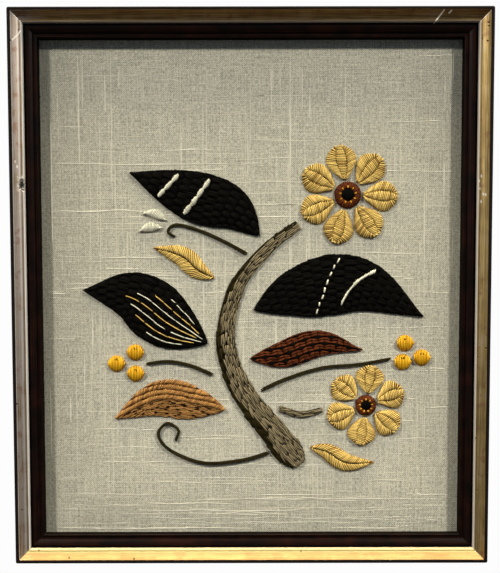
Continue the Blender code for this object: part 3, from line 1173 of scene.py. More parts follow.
@dataclass
class Ground:
    """The stretched linen, its slub threads and the board behind it."""

    opening: Opening
    slack: float = 0.05
    rows: int = 118
    columns: int = 100
    weft_slubs: int = 280
    warp_slubs: int = 190
    seed: int = 11

    def cloth(self) -> Patch:
        """The linen as a closed sheet whose faces sway by a few hundredths of a millimetre.

        The sway is slack * sin(x / 31 mm) * sin(z / 43 mm), with a second, shorter wave.

        Returns:
            The sheet, with UV in metres.
        """
        low, high = (np.array(corner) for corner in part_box("linen"))
        across = np.linspace(low[0], high[0], self.columns)
        upward = np.linspace(low[2], high[2], self.rows)
        x, z = np.meshgrid(across, upward, indexing="ij")
        sway = np.sin(x / (31 * MM)) * np.sin(z / (43 * MM)) + 0.5 * np.sin((x + z) / (17 * MM) + 1.0)
        sway = sway * self.slack * MM / 1.5
        inset = self.slack * MM
        front = np.stack([x, low[1] + inset + sway, z], axis=-1).reshape(-1, 3)
        back = np.stack([x, np.full_like(x, high[1]), z], axis=-1).reshape(-1, 3)
        quads = grid_quads(self.columns, self.rows, False)
        uv = grid_uv(x[:, 0], z[0])
        number = np.arange(self.columns * self.rows).reshape(self.columns, self.rows)
        rim = np.concatenate([number[:-1, 0], number[-1, :-1], number[:0:-1, -1], number[0, :0:-1]])
        after = np.roll(rim, -1)
        count = len(front)
        band = np.stack([rim, rim + count, after + count, after], axis=-1)
        return Patch(
            np.concatenate([front, back]),
            np.concatenate([quads, quads[:, ::-1] + count, band[:, ::-1]]),
            np.concatenate([uv, uv[:, ::-1], np.zeros((len(band), 4, 2))]),
            np.ones(2 * count),
        ).outward()

    def slubs(self) -> Patch:
        """Pale threads that lie in the cloth's face, thick in the middle and thin at both ends.

        A weft thread lies at a steady height but for slow waves, and more of them lie low on the cloth. A
        warp thread is nearly straight. A thread's half width is w * sin(pi t) ** 0.35, with a ripple.

        Returns:
            All the threads.
        """
        draw = np.random.default_rng(self.seed)
        low, high = (np.array(corner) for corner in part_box("linen"))
        edge = 7.5 * MM
        wave_lengths = (21 * MM, 9 * MM, 45 * MM)
        t = np.linspace(0.0, 1.0, 30)
        lines, widths, shades = [], [], []
        for count, level in ((self.weft_slubs, True), (self.warp_slubs, False)):
            span = (high[0] - low[0] if level else high[2] - low[2]) - 2 * edge
            reach = (high[2] - low[2] if level else high[0] - low[0]) - 2 * edge
            length = np.clip(draw.lognormal(-3.05, 0.75, count), 8 * MM, span * 0.8)
            start = draw.uniform(0, 1, count) * (span - length)
            aside = draw.uniform(0, 1, count) ** (1.25 if level else 1.0) * reach
            sway = draw.normal(0, 0.35 if level else 0.1, (count, 3)) * MM
            turn = draw.uniform(0, 2 * np.pi, (count, 3))
            place = start[:, None] + length[:, None] * t
            wave = sum(
                sway[:, [k]] * np.sin(place / wave_length + turn[:, [k]])
                for k, wave_length in enumerate(wave_lengths)
            )
            across = np.clip(aside[:, None] + wave, 0, reach)
            height = np.full_like(place, low[1] + 0.02 * MM)
            if level:
                line = np.stack([low[0] + edge + place, height, low[2] + edge + across], axis=-1)
            else:
                line = np.stack([low[0] + edge + across, height, low[2] + edge + place], axis=-1)
            thick = (0.16 + 0.56 * draw.uniform(0, 1, count)[:, None] ** 2.0) * MM
            ripple = 0.8 + 0.3 * np.sin(place / (2.3 * MM) + turn[:, :1]) * np.sin(place / (5.1 * MM))
            lines.append(line)
            widths.append(thick * np.sin(np.pi * t) ** 0.35 * ripple + 0.02 * MM)
            shades.append(draw.uniform(0.75, 1.25, count))
        width = np.concatenate(widths)
        height = np.minimum(width * 0.6, 0.13 * MM)
        return strands(np.concatenate(lines), width, height, np.concatenate(shades))

    def build(self) -> None:
        """Makes the linen and its slubs, and gives the board its finish."""
        cloth_material = LinenFinish().material(self.opening)
        cloth = make_piece("linen_cloth", self.cloth(), cloth_material, "linen", ["linen"], 40.0)
        slubs = make_piece("linen_slub_threads", self.slubs(), SlubFinish().material(), "linen")
        board = bpy.data.objects["backing_board"]
        board.data.materials.clear()
        board.data.materials.append(BoardFinish().material())


def smooth_line(points: Sequence[Point], steps: int = 40) -> Array:
    """A Catmull-Rom curve through the points, in steps to each span.

    Args:
        points: What it passes through.
        steps: The steps from point to point.

    Returns:
        The curve's points.
    """
    given = np.array(points, float)
    ends = np.vstack([2 * given[0] - given[1], given, 2 * given[-1] - given[-2]])
    spans = len(given) - 1
    fine = np.linspace(0.0, spans, steps * spans + 1)
    span = np.minimum(fine.astype(int), spans - 1)
    t = (fine - span)[:, None]
    a, b, c, d = (ends[span + k] for k in range(4))
    bend = 2 * a - 5 * b + 4 * c - d
    twist = 3 * b - a - 3 * c + d
    return (2 * b + (c - a) * t + bend * t**2 + twist * t**3) / 2


class Outline(Enum):
    """How a motif's half width runs along its middle line."""

    LEAF = "leaf"
    PETAL = "petal"
    ROUND = "round"
    BOUGH = "bough"
    TAPER = "taper"


@dataclass
class Stitches:
    """Straight stitches on a motif: where they start and end, along its middle line and aside, in mm."""

    start: Array
    end: Array
    width: Array
    lift: Array
    shade: Array

    def kept(self, keep: Array) -> "Stitches":
        """Only the stitches that the mask keeps."""
        return Stitches(*(part[keep] for part in (self.start, self.end, self.width, self.lift, self.shade)))


@dataclass
class Motif:
    """One raised motif: a padded shape along a middle line, with the stitches that cover it.

    Sizes are in millimetres on the cloth. The rise is how far the design lies above the opening's middle.
    """

    name: str
    outline: Outline
    route: Sequence[Point]
    width: float
    end_width: float
    crown: float
    seed: int
    opening: Opening
    rise: float = -4.0

    def __post_init__(self) -> None:
        """Measures the middle line."""
        self.line = smooth_line(self.route)
        steps = np.linalg.norm(np.diff(self.line, axis=0), axis=1)
        self.run = np.concatenate([[0.0], np.cumsum(steps)])
        self.length = float(self.run[-1])
        way = np.gradient(self.line, axis=0)
        self.way = way / np.linalg.norm(way, axis=1)[:, None]
        self.draw = np.random.default_rng(self.seed)

    def half(self, s: Array) -> Array:
        """Half the width at a distance along the middle line, by the same rules as the solid.

        Args:
            s: Distances along the middle line, in mm.

        Returns:
            The half widths, in mm.
        """
        t = np.clip(s / self.length, 0.0, 1.0)
        if self.outline is Outline.LEAF:
            half = self.width / 2 * np.sin(np.pi * t**0.87)
        elif self.outline is Outline.PETAL:
            half = self.width / 2 * np.sin(np.pi * (0.05 + 0.915 * t) ** 1.35) ** 0.7
        elif self.outline is Outline.ROUND:
            half = self.width / 2 * np.sqrt(np.clip(1 - (2 * t - 1) ** 2, 0, None))
        elif self.outline is Outline.BOUGH:
            butt = 0.35 + 0.65 * np.clip(t / 0.06, 0, 1) ** 0.6
            half = (self.width + (self.end_width - self.width) * t**0.8) / 2 * butt
        else:
            half = (self.width + (self.end_width - self.width) * t) / 2
        return np.maximum(half, 0.8)

    def pad_height(self, s: Array, aside: Array) -> Array:
        """The padding's height over the cloth: a crown that falls to nothing at the outline.

        Args:
            s: Distances along the middle line, in mm.
            aside: Distances aside from it, in mm.

        Returns:
            The heights, in mm.
        """
        half = self.half(s)
        fullness = np.clip(half / (self.width / 2), 0.2, 1.0) ** 0.5
        share = np.clip(np.abs(aside) / half, 0, 1)
        return (self.crown * fullness * 0.75 * (1 - share**2)) + 0.35 * (1 - share**8)

    def placed(self, s: Array, aside: Array, height: Array) -> Array:
        """Points in metres from distances along and aside and heights over the cloth, in mm.

        Args:
            s: Distances along the middle line, in mm.
            aside: Distances aside from it, in mm.
            height: Heights over the cloth, in mm.

        Returns:
            The points, in metres.
        """
        at = np.clip(s, 0, self.length)
        u = np.interp(at, self.run, self.line[:, 0])
        v = np.interp(at, self.run, self.line[:, 1])
        du = np.interp(at, self.run, self.way[:, 0])
        dv = np.interp(at, self.run, self.way[:, 1])
        size = np.hypot(du, dv)
        du, dv = du / size, dv / size
        beyond = s - at
        right = u + du * beyond - dv * aside
        up = v + dv * beyond + du * aside + self.rise
        front, middle = self.opening.cloth, self.opening.middle
        return np.stack([right * MM, front - height * MM, middle + up * MM], axis=-1)

    def inside(self, s: Array, aside: Array, margin: float) -> Array:
        """Whether places lie inside the outline by a margin."""
        return (s > -0.2) & (s < self.length + 0.2) & (np.abs(aside) < self.half(s) - margin)

    def clipped(self, stitches: Stitches, margin: float = 0.2, shortest: float = 1.6) -> Stitches:
        """Stitches cut back to the part inside the outline, without those that are left too short.

        Args:
            stitches: Those to cut.
            margin: How far inside the outline they end.
            shortest: The least length that is kept.

        Returns:
            What is left of them.
        """
        t = np.linspace(0.0, 1.0, 41)[:, None]
        places = stitches.start[:, None] + (stitches.end - stitches.start)[:, None] * t
        within = self.inside(places[..., 0], places[..., 1], margin)
        first = within.argmax(axis=1)
        last = within.shape[1] - 1 - within[:, ::-1].argmax(axis=1)
        rows = np.arange(len(first))
        start, end = places[rows, first], places[rows, last]
        cut = Stitches(start, end, stitches.width, stitches.lift, stitches.shade)
        long = np.linalg.norm(cut.end - cut.start, axis=1) > shortest
        return cut.kept(within.any(axis=1) & long)

    def stitch_set(
        self, start: Array, end: Array, width: float, lift: Array | float, vary: float, slack: float = 0.15
    ) -> Stitches:
        """Stitches with small random differences in place, width, lift and shade.

        Args:
            start: Where they start.
            end: Where they end.
            width: A strand's width.
            lift: How far a stitch arches, in mm.
            vary: How far their shade varies.
            slack: How far their ends stray.

        Returns:
            The stitches.
        """
        count = len(start)
        draw = self.draw
        return Stitches(
            start + draw.normal(0, slack, (count, 2)),
            end + draw.normal(0, slack, (count, 2)),
            width * draw.uniform(0.88, 1.12, count),
            lift * draw.uniform(0.85, 1.15, count) + draw.uniform(0, 0.16, count),
            draw.normal(1.0, vary, count).clip(0.45, 1.5),
        )

    def sewn(self, stitches: Stitches, sink: float = 0.5, over: float = 0.0) -> Patch:
        """The stitches as tubes over the padding.

        A stitch's middle line lies half a strand over the padding and arches by its lift times
        sin(pi t) ** 0.7, and both its ends dip into the padding or the cloth. Its ends narrow.

        Args:
            stitches: What to sew.
            sink: How deep their ends dip.
            over: How far they lie above the padding, on other stitches.

        Returns:
            The tubes.
        """
        t = STRAND_STATIONS
        places = stitches.start[:, None] + (stitches.end - stitches.start)[:, None] * t[:, None]
        half_high = stitches.width[:, None] * 0.44
        ground = self.pad_height(places[..., 0], places[..., 1])
        height = ground + half_high + over + stitches.lift[:, None] * np.sin(np.pi * t) ** 0.7
        ends = np.maximum(ground + over * 0.5 - sink, -0.15)
        height = ends + (height - ends) * STRAND_HEIGHTS
        lines = self.placed(places[..., 0], places[..., 1], height)
        half_wide = stitches.width[:, None] / 2 * STRAND_WIDTHS * MM
        return strands(lines, half_wide, half_high * STRAND_WIDTHS * MM, stitches.shade)

    def padding(self, shade: float = 0.55) -> Patch:
        """The padding under the stitches: a grid along and across with a flat back, closed at its ends.

        Args:
            shade: The padding's shade, kept darker than the stitches as painted shade in the gaps between
                them.

        Returns:
            The padding.
        """
        rows, columns = 40, 13
        t = (1 - np.cos(np.pi * np.linspace(0.0, 1.0, rows))) / 2
        s = (0.02 + 0.96 * t) * self.length
        w = np.sin(np.pi / 2 * np.linspace(-1.0, 1.0, columns))
        aside = (self.half(s) * 0.96)[:, None] * w
        along = np.broadcast_to(s[:, None], aside.shape)
        top = self.placed(along, aside, self.pad_height(along, aside))
        low = self.placed(s[:, None], aside[:, [-1, 0]], np.full((rows, 2), 0.03))
        ring = np.concatenate([top, low], axis=1)
        count = columns + 2
        cap = np.arange(count)
        return Patch(
            ring.reshape(-1, 3),
            grid_quads(rows, count, True),
            grid_uv(s * MM, np.arange(count + 1) / count),
            # Painted shade: the padding shows dark between the stitches.
            np.full(rows * count, shade),
            [cap, cap[::-1] + (rows - 1) * count],
        ).outward()

    def scale_rows(self, long: float = 11.5, wide: float = 6.4) -> Stitches:
        """Rows of overlapping scales, each of a few stitches along the motif that lift to a raised tip.

        Args:
            long: A scale's length.
            wide: Its width.

        Returns:
            The stitches, cut to the outline.
        """
        step = long * 0.76
        per = 5
        row = np.arange(math.ceil(self.length / step) + 1)
        column = np.arange(-6, 7)
        fan = np.arange(per) - (per - 1) / 2
        r, c, k = crossed(row, column, fan)
        shift = self.draw.uniform(-0.8, 0.8, (len(row), len(column)))
        nudge = np.repeat(shift.ravel(), per)
        middle = (c + 0.5 * (r % 2)) * wide
        from_s = r * step - long * 0.35 + nudge + 0.18 * k**2
        to_s = from_s + long - 0.55 * k**2
        start = pairs(from_s, middle + k * 1.30)
        end = pairs(to_s, middle + k * 0.92)
        lift = 0.95 * np.cos(k / per * 2.6)
        return self.clipped(self.stitch_set(start, end, 1.35, lift, 0.25))

    def fishbone(self, side: int, angle_deg: float, pitch: float, lift: float = 0.1) -> Stitches:
        """Slanting satin from the middle line to one edge.

        Args:
            side: Which edge, -1 or 1.
            angle_deg: Their slant from the middle line.
            pitch: The distance from stitch to stitch, in mm.
            lift: How far a stitch arches, in mm.

        Returns:
            The stitches, cut to the outline.
        """
        angle = math.radians(angle_deg)
        reach = self.width / math.sin(angle)
        s = np.arange(-self.width, self.length, pitch / math.sin(angle))
        start = pairs(s, side * 0.25)
        end = pairs(s + reach * math.cos(angle), side * reach * math.sin(angle))
        return self.clipped(self.stitch_set(start, end, pitch, lift, 0.16, 0.08))

    def long_rows(self, pitch: float, length: float, lift: float, vary: float = 0.16) -> Stitches:
        """Long stitches end to end in rows along the motif, staggered from row to row.

        Args:
            pitch: The distance from row to row.
            length: A stitch's length.
            lift: How far a stitch arches, in mm.
            vary: How far their shade varies.

        Returns:
            The stitches, cut to the outline.
        """
        half = self.width / 2
        rows = np.arange(-half, half + pitch / 2, pitch)
        starts = np.arange(-length, self.length, length * 0.92)
        s, o = crossed(starts, rows)
        phase = np.tile(self.draw.uniform(0, length, len(rows)), len(starts))
        s = s + phase + self.draw.uniform(-0.12, 0.12, len(s)) * length
        size = length * self.draw.uniform(0.8, 1.15, len(s))
        lean = self.draw.normal(0, 0.35, len(s))
        start = pairs(s, o - lean)
        end = pairs(s + size, o + lean)
        return self.clipped(self.stitch_set(start, end, pitch * 0.96, lift, vary, 0.12))

    def ropes(self, band: float, pitch: float, link: float) -> Stitches:
        """Bands along the motif, each of short slanting stitches over a cord that swells link by link.

        Args:
            band: A band's width.
            pitch: The distance from stitch to stitch, in mm.
            link: The length of a swelling.

        Returns:
            The stitches, cut to the outline.
        """
        half = self.width / 2
        bands = np.arange(-half + band / 2, half, band)
        s = np.arange(0.0, self.length, pitch)
        along, middle = crossed(s, bands)
        phase = np.tile(self.draw.uniform(0, link, len(bands)), len(s))
        swell = np.abs(np.sin(np.pi * (along + phase) / link)) ** 0.5
        wide = band * (0.27 + 0.25 * swell)
        start = pairs(along, middle - wide)
        end = pairs(along + band * 0.55, middle + wide)
        return self.clipped(self.stitch_set(start, end, pitch, 0.25 + 0.95 * swell, 0.24, 0.12))

    def rungs(self, low: float, high: float, pitch: float, slant: float, lift: float = 0.45) -> Stitches:
        """Satin across a lengthwise block between two shares of the half width, slanting along it.

        Args:
            low: The block's one edge, as a share of the half width.
            high: The other.
            pitch: The distance from stitch to stitch, in mm.
            slant: How far a stitch runs along the motif, in mm.
            lift: How far a stitch arches, in mm.

        Returns:
            The stitches, cut to the outline.
        """
        s = np.arange(-abs(slant), self.length + abs(slant), pitch)
        start = pairs(s - slant / 2, low * self.half(s - slant / 2))
        end = pairs(s + slant / 2, high * self.half(s + slant / 2))
        return self.clipped(self.stitch_set(start, end, pitch * 0.97, lift, 0.22, 0.1), -0.1, 1.3)

    def across(self, pitch: float, slant: float = 0.0, lift: float = 0.2) -> Stitches:
        """Satin straight across the motif from edge to edge.

        Args:
            pitch: The distance from stitch to stitch, in mm.
            slant: How far a stitch runs along the motif, in mm.
            lift: How far a stitch arches, in mm.

        Returns:
            The stitches, cut to the outline.
        """
        s = np.arange(pitch / 2, self.length, pitch)
        half = self.half(s)
        start = pairs(s - slant / 2, -half)
        end = pairs(s + slant / 2, half)
        return self.clipped(self.stitch_set(start, end, pitch, lift, 0.14, 0.06), 0.0)

    def stem(self, length: float, share: float, spread: float) -> Stitches:
        """Overlapping slanting stitches along the middle line, in one row or, with a spread, in two.

        Args:
            length: A stitch's length.
            share: The step as a share of the length.
            spread: How far the two rows lie apart, as a share of the width, or 0 for one row.

        Returns:
            The stitches.
        """
        s = np.arange(-length * 0.3, self.length - length * 0.4, length * share)
        rows = (-1.0, 1.0) if spread > 0 else (0.0,)
        parts = []
        for row in rows:
            middle = row * spread * self.half(s)
            start = pairs(s + row * length * 0.2, middle - 0.35)
            end = pairs(s + row * length * 0.2 + length, middle + 0.35)
            parts.append((start, end))
        start, end = (np.concatenate([p[k] for p in parts]) for k in range(2))
        inside = (start[:, 0] > -1.5) & (end[:, 0] < self.length + 1.5)
        width = 1.25 if spread > 0 else 1.5
        return self.stitch_set(start[inside], end[inside], width, 0.25, 0.18, 0.08)

    def course(self, low: float, high: float, share: float, count: int, width: float) -> Stitches:
        """Stitches end over end at one share of the half width, between two shares of the length.

        Args:
            low: Where it starts, as a share of the length.
            high: Where it ends.
            share: Where it lies, as a share of the half width.
            count: How many stitches it has.
            width: A strand's width.

        Returns:
            The stitches, cut to the outline.
        """
        s = np.linspace(low, high, count + 1) * self.length
        middle = pairs(s, share * self.half(s))
        over = 0.08 * (middle[1:] - middle[:-1])
        line = self.stitch_set(middle[:-1] - over, middle[1:] + over, width, 0.2, 0.08, 0.12)
        return self.clipped(line, 0.5, 1.0)

    def dashes(
        self,
        first: Point,
        last: Point,
        count: int,
        length: float,
        width: float,
        turn_deg: float,
        vary: float = 0.2,
    ) -> Stitches:
        """Short stitches in a line between two places, given as shares of the length and the half width.

        Args:
            first: Where the line starts, as shares of the length and the half width.
            last: Where it ends, likewise.
            count: How many there are.
            length: A stitch's length.
            width: A strand's width.
            turn_deg: Their direction, from along the motif.
            vary: How far their length varies.

        Returns:
            The stitches.
        """
        share = np.linspace(0.0, 1.0, count)
        t = first[0] + (last[0] - first[0]) * share
        w = first[1] + (last[1] - first[1]) * share
        s = t * self.length
        middle = pairs(s, w * self.half(s)) + self.draw.normal(0, 0.25, (count, 2))
        turn = math.radians(turn_deg) + self.draw.normal(0, 0.12, count)
        size = length * self.draw.uniform(1 - vary, 1 + vary, count)
        reach = pairs(np.cos(turn), np.sin(turn)) * size[:, None] / 2
        return self.stitch_set(middle - reach, middle + reach, width, 0.35, 0.06, 0.05)

    def blocks(
        self, first: Point, last: Point, count: int, length: float, strands_each: int, turn_deg: float
    ) -> Stitches:
        """Slanting blocks of a few stitches each, side by side along a line between two places.

        Args:
            first: Where the line starts, as shares of the length and the half width.
            last: Where it ends, likewise.
            count: How many blocks there are.
            length: A stitch's length.
            strands_each: How many stitches a block has.
            turn_deg: Their direction, from along the motif.

        Returns:
            The stitches.
        """
        share = (np.arange(count * strands_each) + 0.5) / (count * strands_each)
        t = first[0] + (last[0] - first[0]) * share
        s = t * self.length
        middle = pairs(s, (first[1] + (last[1] - first[1]) * share) * self.half(s))
        block = np.arange(len(share)) // strands_each
        angle = math.radians(turn_deg)
        turn = angle + self.draw.normal(0, 0.16, count)[block]
        along = np.array([math.cos(angle), math.sin(angle)])
        middle = middle + along * self.draw.normal(0, 0.45, count)[block][:, None]
        reach = pairs(-np.sin(turn - 1.2), np.cos(turn - 1.2)) * length / 2
        return self.stitch_set(middle - reach, middle + reach, 1.3, 0.45, 0.08, 0.06)

    def lenses(self, first: Point, last: Point, count: int, wide: float, pitch: float = 1.15) -> Stitches:
        """A chain of lens-shaped bars of satin between two places, each stitch lying across the chain.

        Args:
            first: Where the line starts, as shares of the length and the half width.
            last: Where it ends, likewise.
            count: How many bars there are.
            wide: A bar's widest span.
            pitch: The distance from stitch to stitch, in mm.

        Returns:
            The stitches.
        """
        s = np.array([first[0], last[0]]) * self.length
        ends = pairs(s, np.array([first[1], last[1]]) * self.half(s))
        way = ends[1] - ends[0]
        size = float(np.linalg.norm(way))
        way = way / size
        along = np.arange(pitch / 2, size, pitch)
        full = np.abs(np.sin(np.pi * along / size * count)) ** 0.6
        middle = ends[0] + way * along[:, None]
        aside = np.array([-way[1], way[0]]) * 0.94 + way * 0.34
        reach = aside * (0.35 + 0.65 * full)[:, None] * wide / 2
        return self.stitch_set(middle - reach, middle + reach, pitch * 1.04, 0.35 + 0.4 * full, 0.08, 0.06)


@dataclass
class Embroidery:
    """The whole stitched design, which gathers each motif's patches by yarn and makes its pieces."""

    opening: Opening
    first_seed: int = 101
    seam: float = 0.34

    def __post_init__(self) -> None:
        """Makes each yarn's material once, and starts the motifs' seeds."""
        self.materials = {yarn: yarn.value.material() for yarn in Yarn}
        self.seed = self.first_seed - 1

    def motif(
        self, name: str, outline: Outline, route: Sequence[Point], size: tuple[float, float, float]
    ) -> Motif:
        """A motif from its width, end width and crown, with a seed of its own."""
        self.seed += 1
        return Motif(name, outline, route, *size, self.seed, self.opening)

    def piece(self, name: str, yarn: Yarn, patches: Sequence[Patch], nodes: Sequence[str] = ()) -> None:
        """One piece of one yarn."""
        make_piece(name, joined(patches), self.materials[yarn], yarn.value.slot, nodes)

    def dark_leaves(self) -> None:
        """The three black leaves of overlapping scales, with pale streaks, dashes and bars."""
        routes = {
            "leaf_west": ((-39, -44), (-72, -26), (-106, -2), (-150, 4)),
            "leaf_east": ((2, -14), (44, 2), (96, 8), (154, -20)),
            "leaf_north": ((8, 52), (-18, 76), (-54, 88), (-108, 108)),
        }
        widths = {"leaf_west": 54, "leaf_east": 54, "leaf_north": 46}
        for name, route in routes.items():
            leaf = self.motif(name, Outline.LEAF, route, (widths[name], 0, 2.4))
            rim = self.rim(leaf)
            body = [leaf.padding(), leaf.sewn(leaf.scale_rows())]
            self.piece(f"{name}_black", Yarn.BLACK, body + rim, [name])
            for yarn, parts in self.accents(leaf).items():
                pale = [leaf.sewn(part, 0.2, 1.1) for part in parts]
                self.piece(f"{name}_{yarn.name.lower()}", yarn, pale)

    def rim(self, leaf: Motif) -> list[Patch]:
        """Short stitches that follow a leaf's outline, end over end, on both sides.

        Args:
            leaf: The leaf.

        Returns:
            The stitches of each side.
        """
        parts = []
        for side in (-1, 1):
            s = np.linspace(1.0, leaf.length - 5.6, math.ceil(leaf.length / 4.2))
            start = pairs(s, side * (leaf.half(s) - 0.75))
            end = pairs(s + 5.2, side * (leaf.half(s + 5.2) - 0.55))
            parts.append(leaf.sewn(leaf.stitch_set(start, end, 1.15, 0.25, 0.1, 0.12), 0.3))
        return parts

    def accents(self, leaf: Motif) -> dict[Yarn, list[Stitches]]:
        """The pale stitches on a black leaf: thin streaks, rows of dashes and blocks, or satin bars.

        Args:
            leaf: The leaf.

        Returns:
            The stitches of each yarn.
        """
        if leaf.name == "leaf_west":
            rows = (
                (0.16, 0.40, 0.72), (0.09, 0.54, 0.50), (0.05, 0.63, 0.28), (0.10, 0.69, 0.05),
                (0.05, 0.62, -0.19), (0.08, 0.52, -0.42), (0.15, 0.41, -0.66),
            )
            streaks = [leaf.course(low, high, w, 5, 1.0) for low, high, w in rows]
            return {Yarn.CREAM: streaks[::2], Yarn.STRAW: streaks[1::2]}
        if leaf.name == "leaf_east":
            blocks = leaf.blocks((0.50, -0.66), (0.66, 0.70), 7, 4.4, 4, 62)
            return {Yarn.CREAM: [leaf.dashes((0.34, -0.80), (0.50, 0.80), 8, 4.2, 1.7, 62), blocks]}
        return {
            Yarn.CREAM: [
                leaf.lenses((0.46, -0.78), (0.56, 0.80), 4, 4.6),
                leaf.lenses((0.68, -0.74), (0.76, 0.76), 3, 4.4),
            ]
        }

    def tan_leaf(self) -> None:
        """The tan leaf: roped bands on its upper side, and long stitches with dark flecks on its lower."""
        route = ((-23, -104), (-50, -98), (-84, -94), (-124, -112))
        leaf = self.motif("leaf_flecked", Outline.LEAF, route, (35, 0, 2.0))
        ropes = leaf.ropes(4.6, 1.45, 12.5)
        ropes = ropes.kept(ropes.start[:, 1] < 0.5)
        plain = leaf.long_rows(1.25, 14.0, 0.15, 0.16)
        plain = plain.kept(plain.start[:, 1] > 0.4)
        body = [leaf.padding(0.4)]
        body += [leaf.sewn(part) for part in (ropes, plain)]
        self.piece("leaf_flecked_tan", Yarn.TAN, body, ["leaf_flecked"])
        flecks = [
            leaf.dashes((0.14 + 0.05 * (k % 2), w), (0.86 - 0.05 * k, w), 8 - k, 4.2, 1.15, 2, 0.3)
            for k, w in enumerate((0.22, 0.47, 0.74))
        ]
        self.piece("leaf_flecked_dark", Yarn.BLACK, [leaf.sewn(f, 0.3, 0.45) for f in flecks])

    def russet_leaf(self) -> None:
        """The russet leaf: rows of short bundles round dark centres."""
        route = ((-2, -58), (28, -54), (62, -44), (100, -50))
        leaf = self.motif("leaf_russet", Outline.LEAF, route, (27, 0, 2.0))
        cell, band, pinch = 11.0, 6.0, 0.60
        rows = np.arange(-2, 3)
        columns = np.arange(math.ceil(leaf.length / cell) + 1)
        ring = np.array([-2.75, -1.9, 1.9, 2.75])
        c, r, k = crossed(columns, rows, ring)
        s = (c + 0.5 * (r % 2)) * cell - 2.0
        middle = pairs(s + cell / 2, r * band + k)
        body = [leaf.padding(0.35)]
        for reach in (-0.5, 0.5):
            tip = pairs(s + cell * (0.5 + reach), r * band + k * pinch)
            bundles = leaf.clipped(leaf.stitch_set(tip, middle + (0.4 * reach, 0), 1.3, 0.6, 0.22, 0.12))
            body.append(leaf.sewn(bundles))
        body += self.rim(leaf)
        fan = np.array([-0.8, 0.0, 0.8])
        c, r, k = crossed(columns, rows, fan)
        s = (c + 0.5 * (r % 2)) * cell - 2.0 + cell / 2
        half = (cell - 3.2) / 2 * (1 - 0.45 * (k != 0))
        start = pairs(s - half, r * band + k)
        end = pairs(s + half, r * band + k)
        eyes = leaf.clipped(leaf.stitch_set(start, end, 1.1, 0.15, 0.1, 0.08), 1.0, 2.0)
        self.piece("leaf_russet_wool", Yarn.RUSSET, body, ["leaf_russet"])
        self.piece("leaf_russet_eyes", Yarn.BLACK, [leaf.sewn(eyes, 0.0, 1.05)])

    def straw_leaves(self) -> None:
        """The two small straw leaves in fishbone stitch, with a dark rib down the middle."""
        routes = {
            "leaf_small_upper": (((-32, 14), (-48, 22), (-62, 34), (-88, 42)), 20),
            "leaf_small_lower": (((52, -138), (68, -142), (86, -152), (112, -152)), 18),
        }
        ribs = []
        for name, (route, width) in routes.items():
            leaf = self.motif(name, Outline.LEAF, route, (width, 0, 1.8))
            body = [leaf.padding()]
            body += [leaf.sewn(leaf.fishbone(side, 52, 1.5)) for side in (-1, 1)]
            self.piece(f"{name}_straw", Yarn.STRAW, body, [name])
            rib = leaf.course(0.05, 0.9, 0.0, 9, 0.6)
            ribs.append(leaf.sewn(rib, 0.2, 0.3))
        self.piece("leaf_small_ribs", Yarn.OLIVE, ribs)

    def bough(self) -> None:
        """The bough and its twig in long stitches like bark, olive along the shaded side."""
        route = ((44, -154), (18, -122), (-10, -84), (-23, -42), (-13, 6), (14, 40), (42, 62))
        bough = self.motif("bough", Outline.BOUGH, route, (29, 9, 2.2))
        twig = self.motif("twig", Outline.TAPER, ((25, -103), (44, -108), (64, -104)), (6.4, 4.8, 1.2))
        bark = bough.long_rows(1.5, 10.5, 0.25, 0.24)
        middle = (bark.start + bark.end) / 2
        share = middle[:, 1] / bough.half(middle[:, 0])
        edge = 0.52 + 0.16 * np.sin(middle[:, 0] / 11.0)
        shaded = share > edge
        small = twig.long_rows(1.45, 9.0, 0.2, 0.24)
        body = [
            bough.padding(0.25),
            twig.padding(0.25),
            bough.sewn(bark.kept(~shaded)),
            twig.sewn(small),
        ]
        self.piece("bough_taupe", Yarn.TAUPE, body, ["bough", "twig"])
        knots = []
        for number in range(7):
            t, w = 0.07 + 0.13 * number, -0.55 + 0.3 * (number % 3)
            knots.append(bough.dashes((t, w), (t + 0.05, w + 0.05), 2, 6.0, 0.9, 3))
        dark = [bough.sewn(bark.kept(shaded))]
        dark += [bough.sewn(knot, 0.3, 0.25) for knot in knots]
        self.piece("bough_olive", Yarn.OLIVE, dark)

    def tendrils(self) -> None:
        """The four tendrils in stem stitch, in two rows that draw together towards the tip."""
        routes = {
            "tendril_west": ((-35, -72), (-54, -64), (-74, -60), (-94, -62)),
            "tendril_south": (
                (16, -143), (-10, -150), (-44, -152), (-74, -140),
                (-84, -126), (-76, -116), (-66, -122), (-68, -131),
            ),
            "tendril_east": ((9, -86), (34, -75), (64, -66), (96, -63), (125, -58)),
            "tendril_north": ((-4, 36), (-22, 46), (-44, 56), (-66, 62), (-74, 56), (-68, 51)),
        }
        for name, route in routes.items():
            tendril = self.motif(name, Outline.TAPER, route, (3.4, 2.2, 0.9))
            body = [tendril.padding(), tendril.sewn(tendril.stem(5.4, 0.42, 0.42))]
            self.piece(f"{name}_olive", Yarn.OLIVE, body, [name])

    def buds(self) -> None:
        """The two cream buds in satin across."""
        routes = {
            "bud_cream_upper": ((-76, 66), (-82, 70), (-88, 72), (-96, 72)),
            "bud_cream_lower": ((-80, 59), (-87, 60), (-93, 59), (-100, 56)),
        }
        for name, route in routes.items():
            bud = self.motif(name, Outline.LEAF, route, (9, 0, 1.6))
            body = [bud.padding(), bud.sewn(bud.across(1.25, 1.6))]
            self.piece(f"{name}_wool", Yarn.CREAM, body, [name])

    def round_motif(self, name: str, middle: Point, radius: float, crown: float) -> Motif:
        """A round motif about a point."""
        route = tuple((middle[0] + share * radius, middle[1]) for share in (-1.0, -0.4, 0.4, 1.0))
        return self.motif(name, Outline.ROUND, route, (2 * radius, 0, crown))

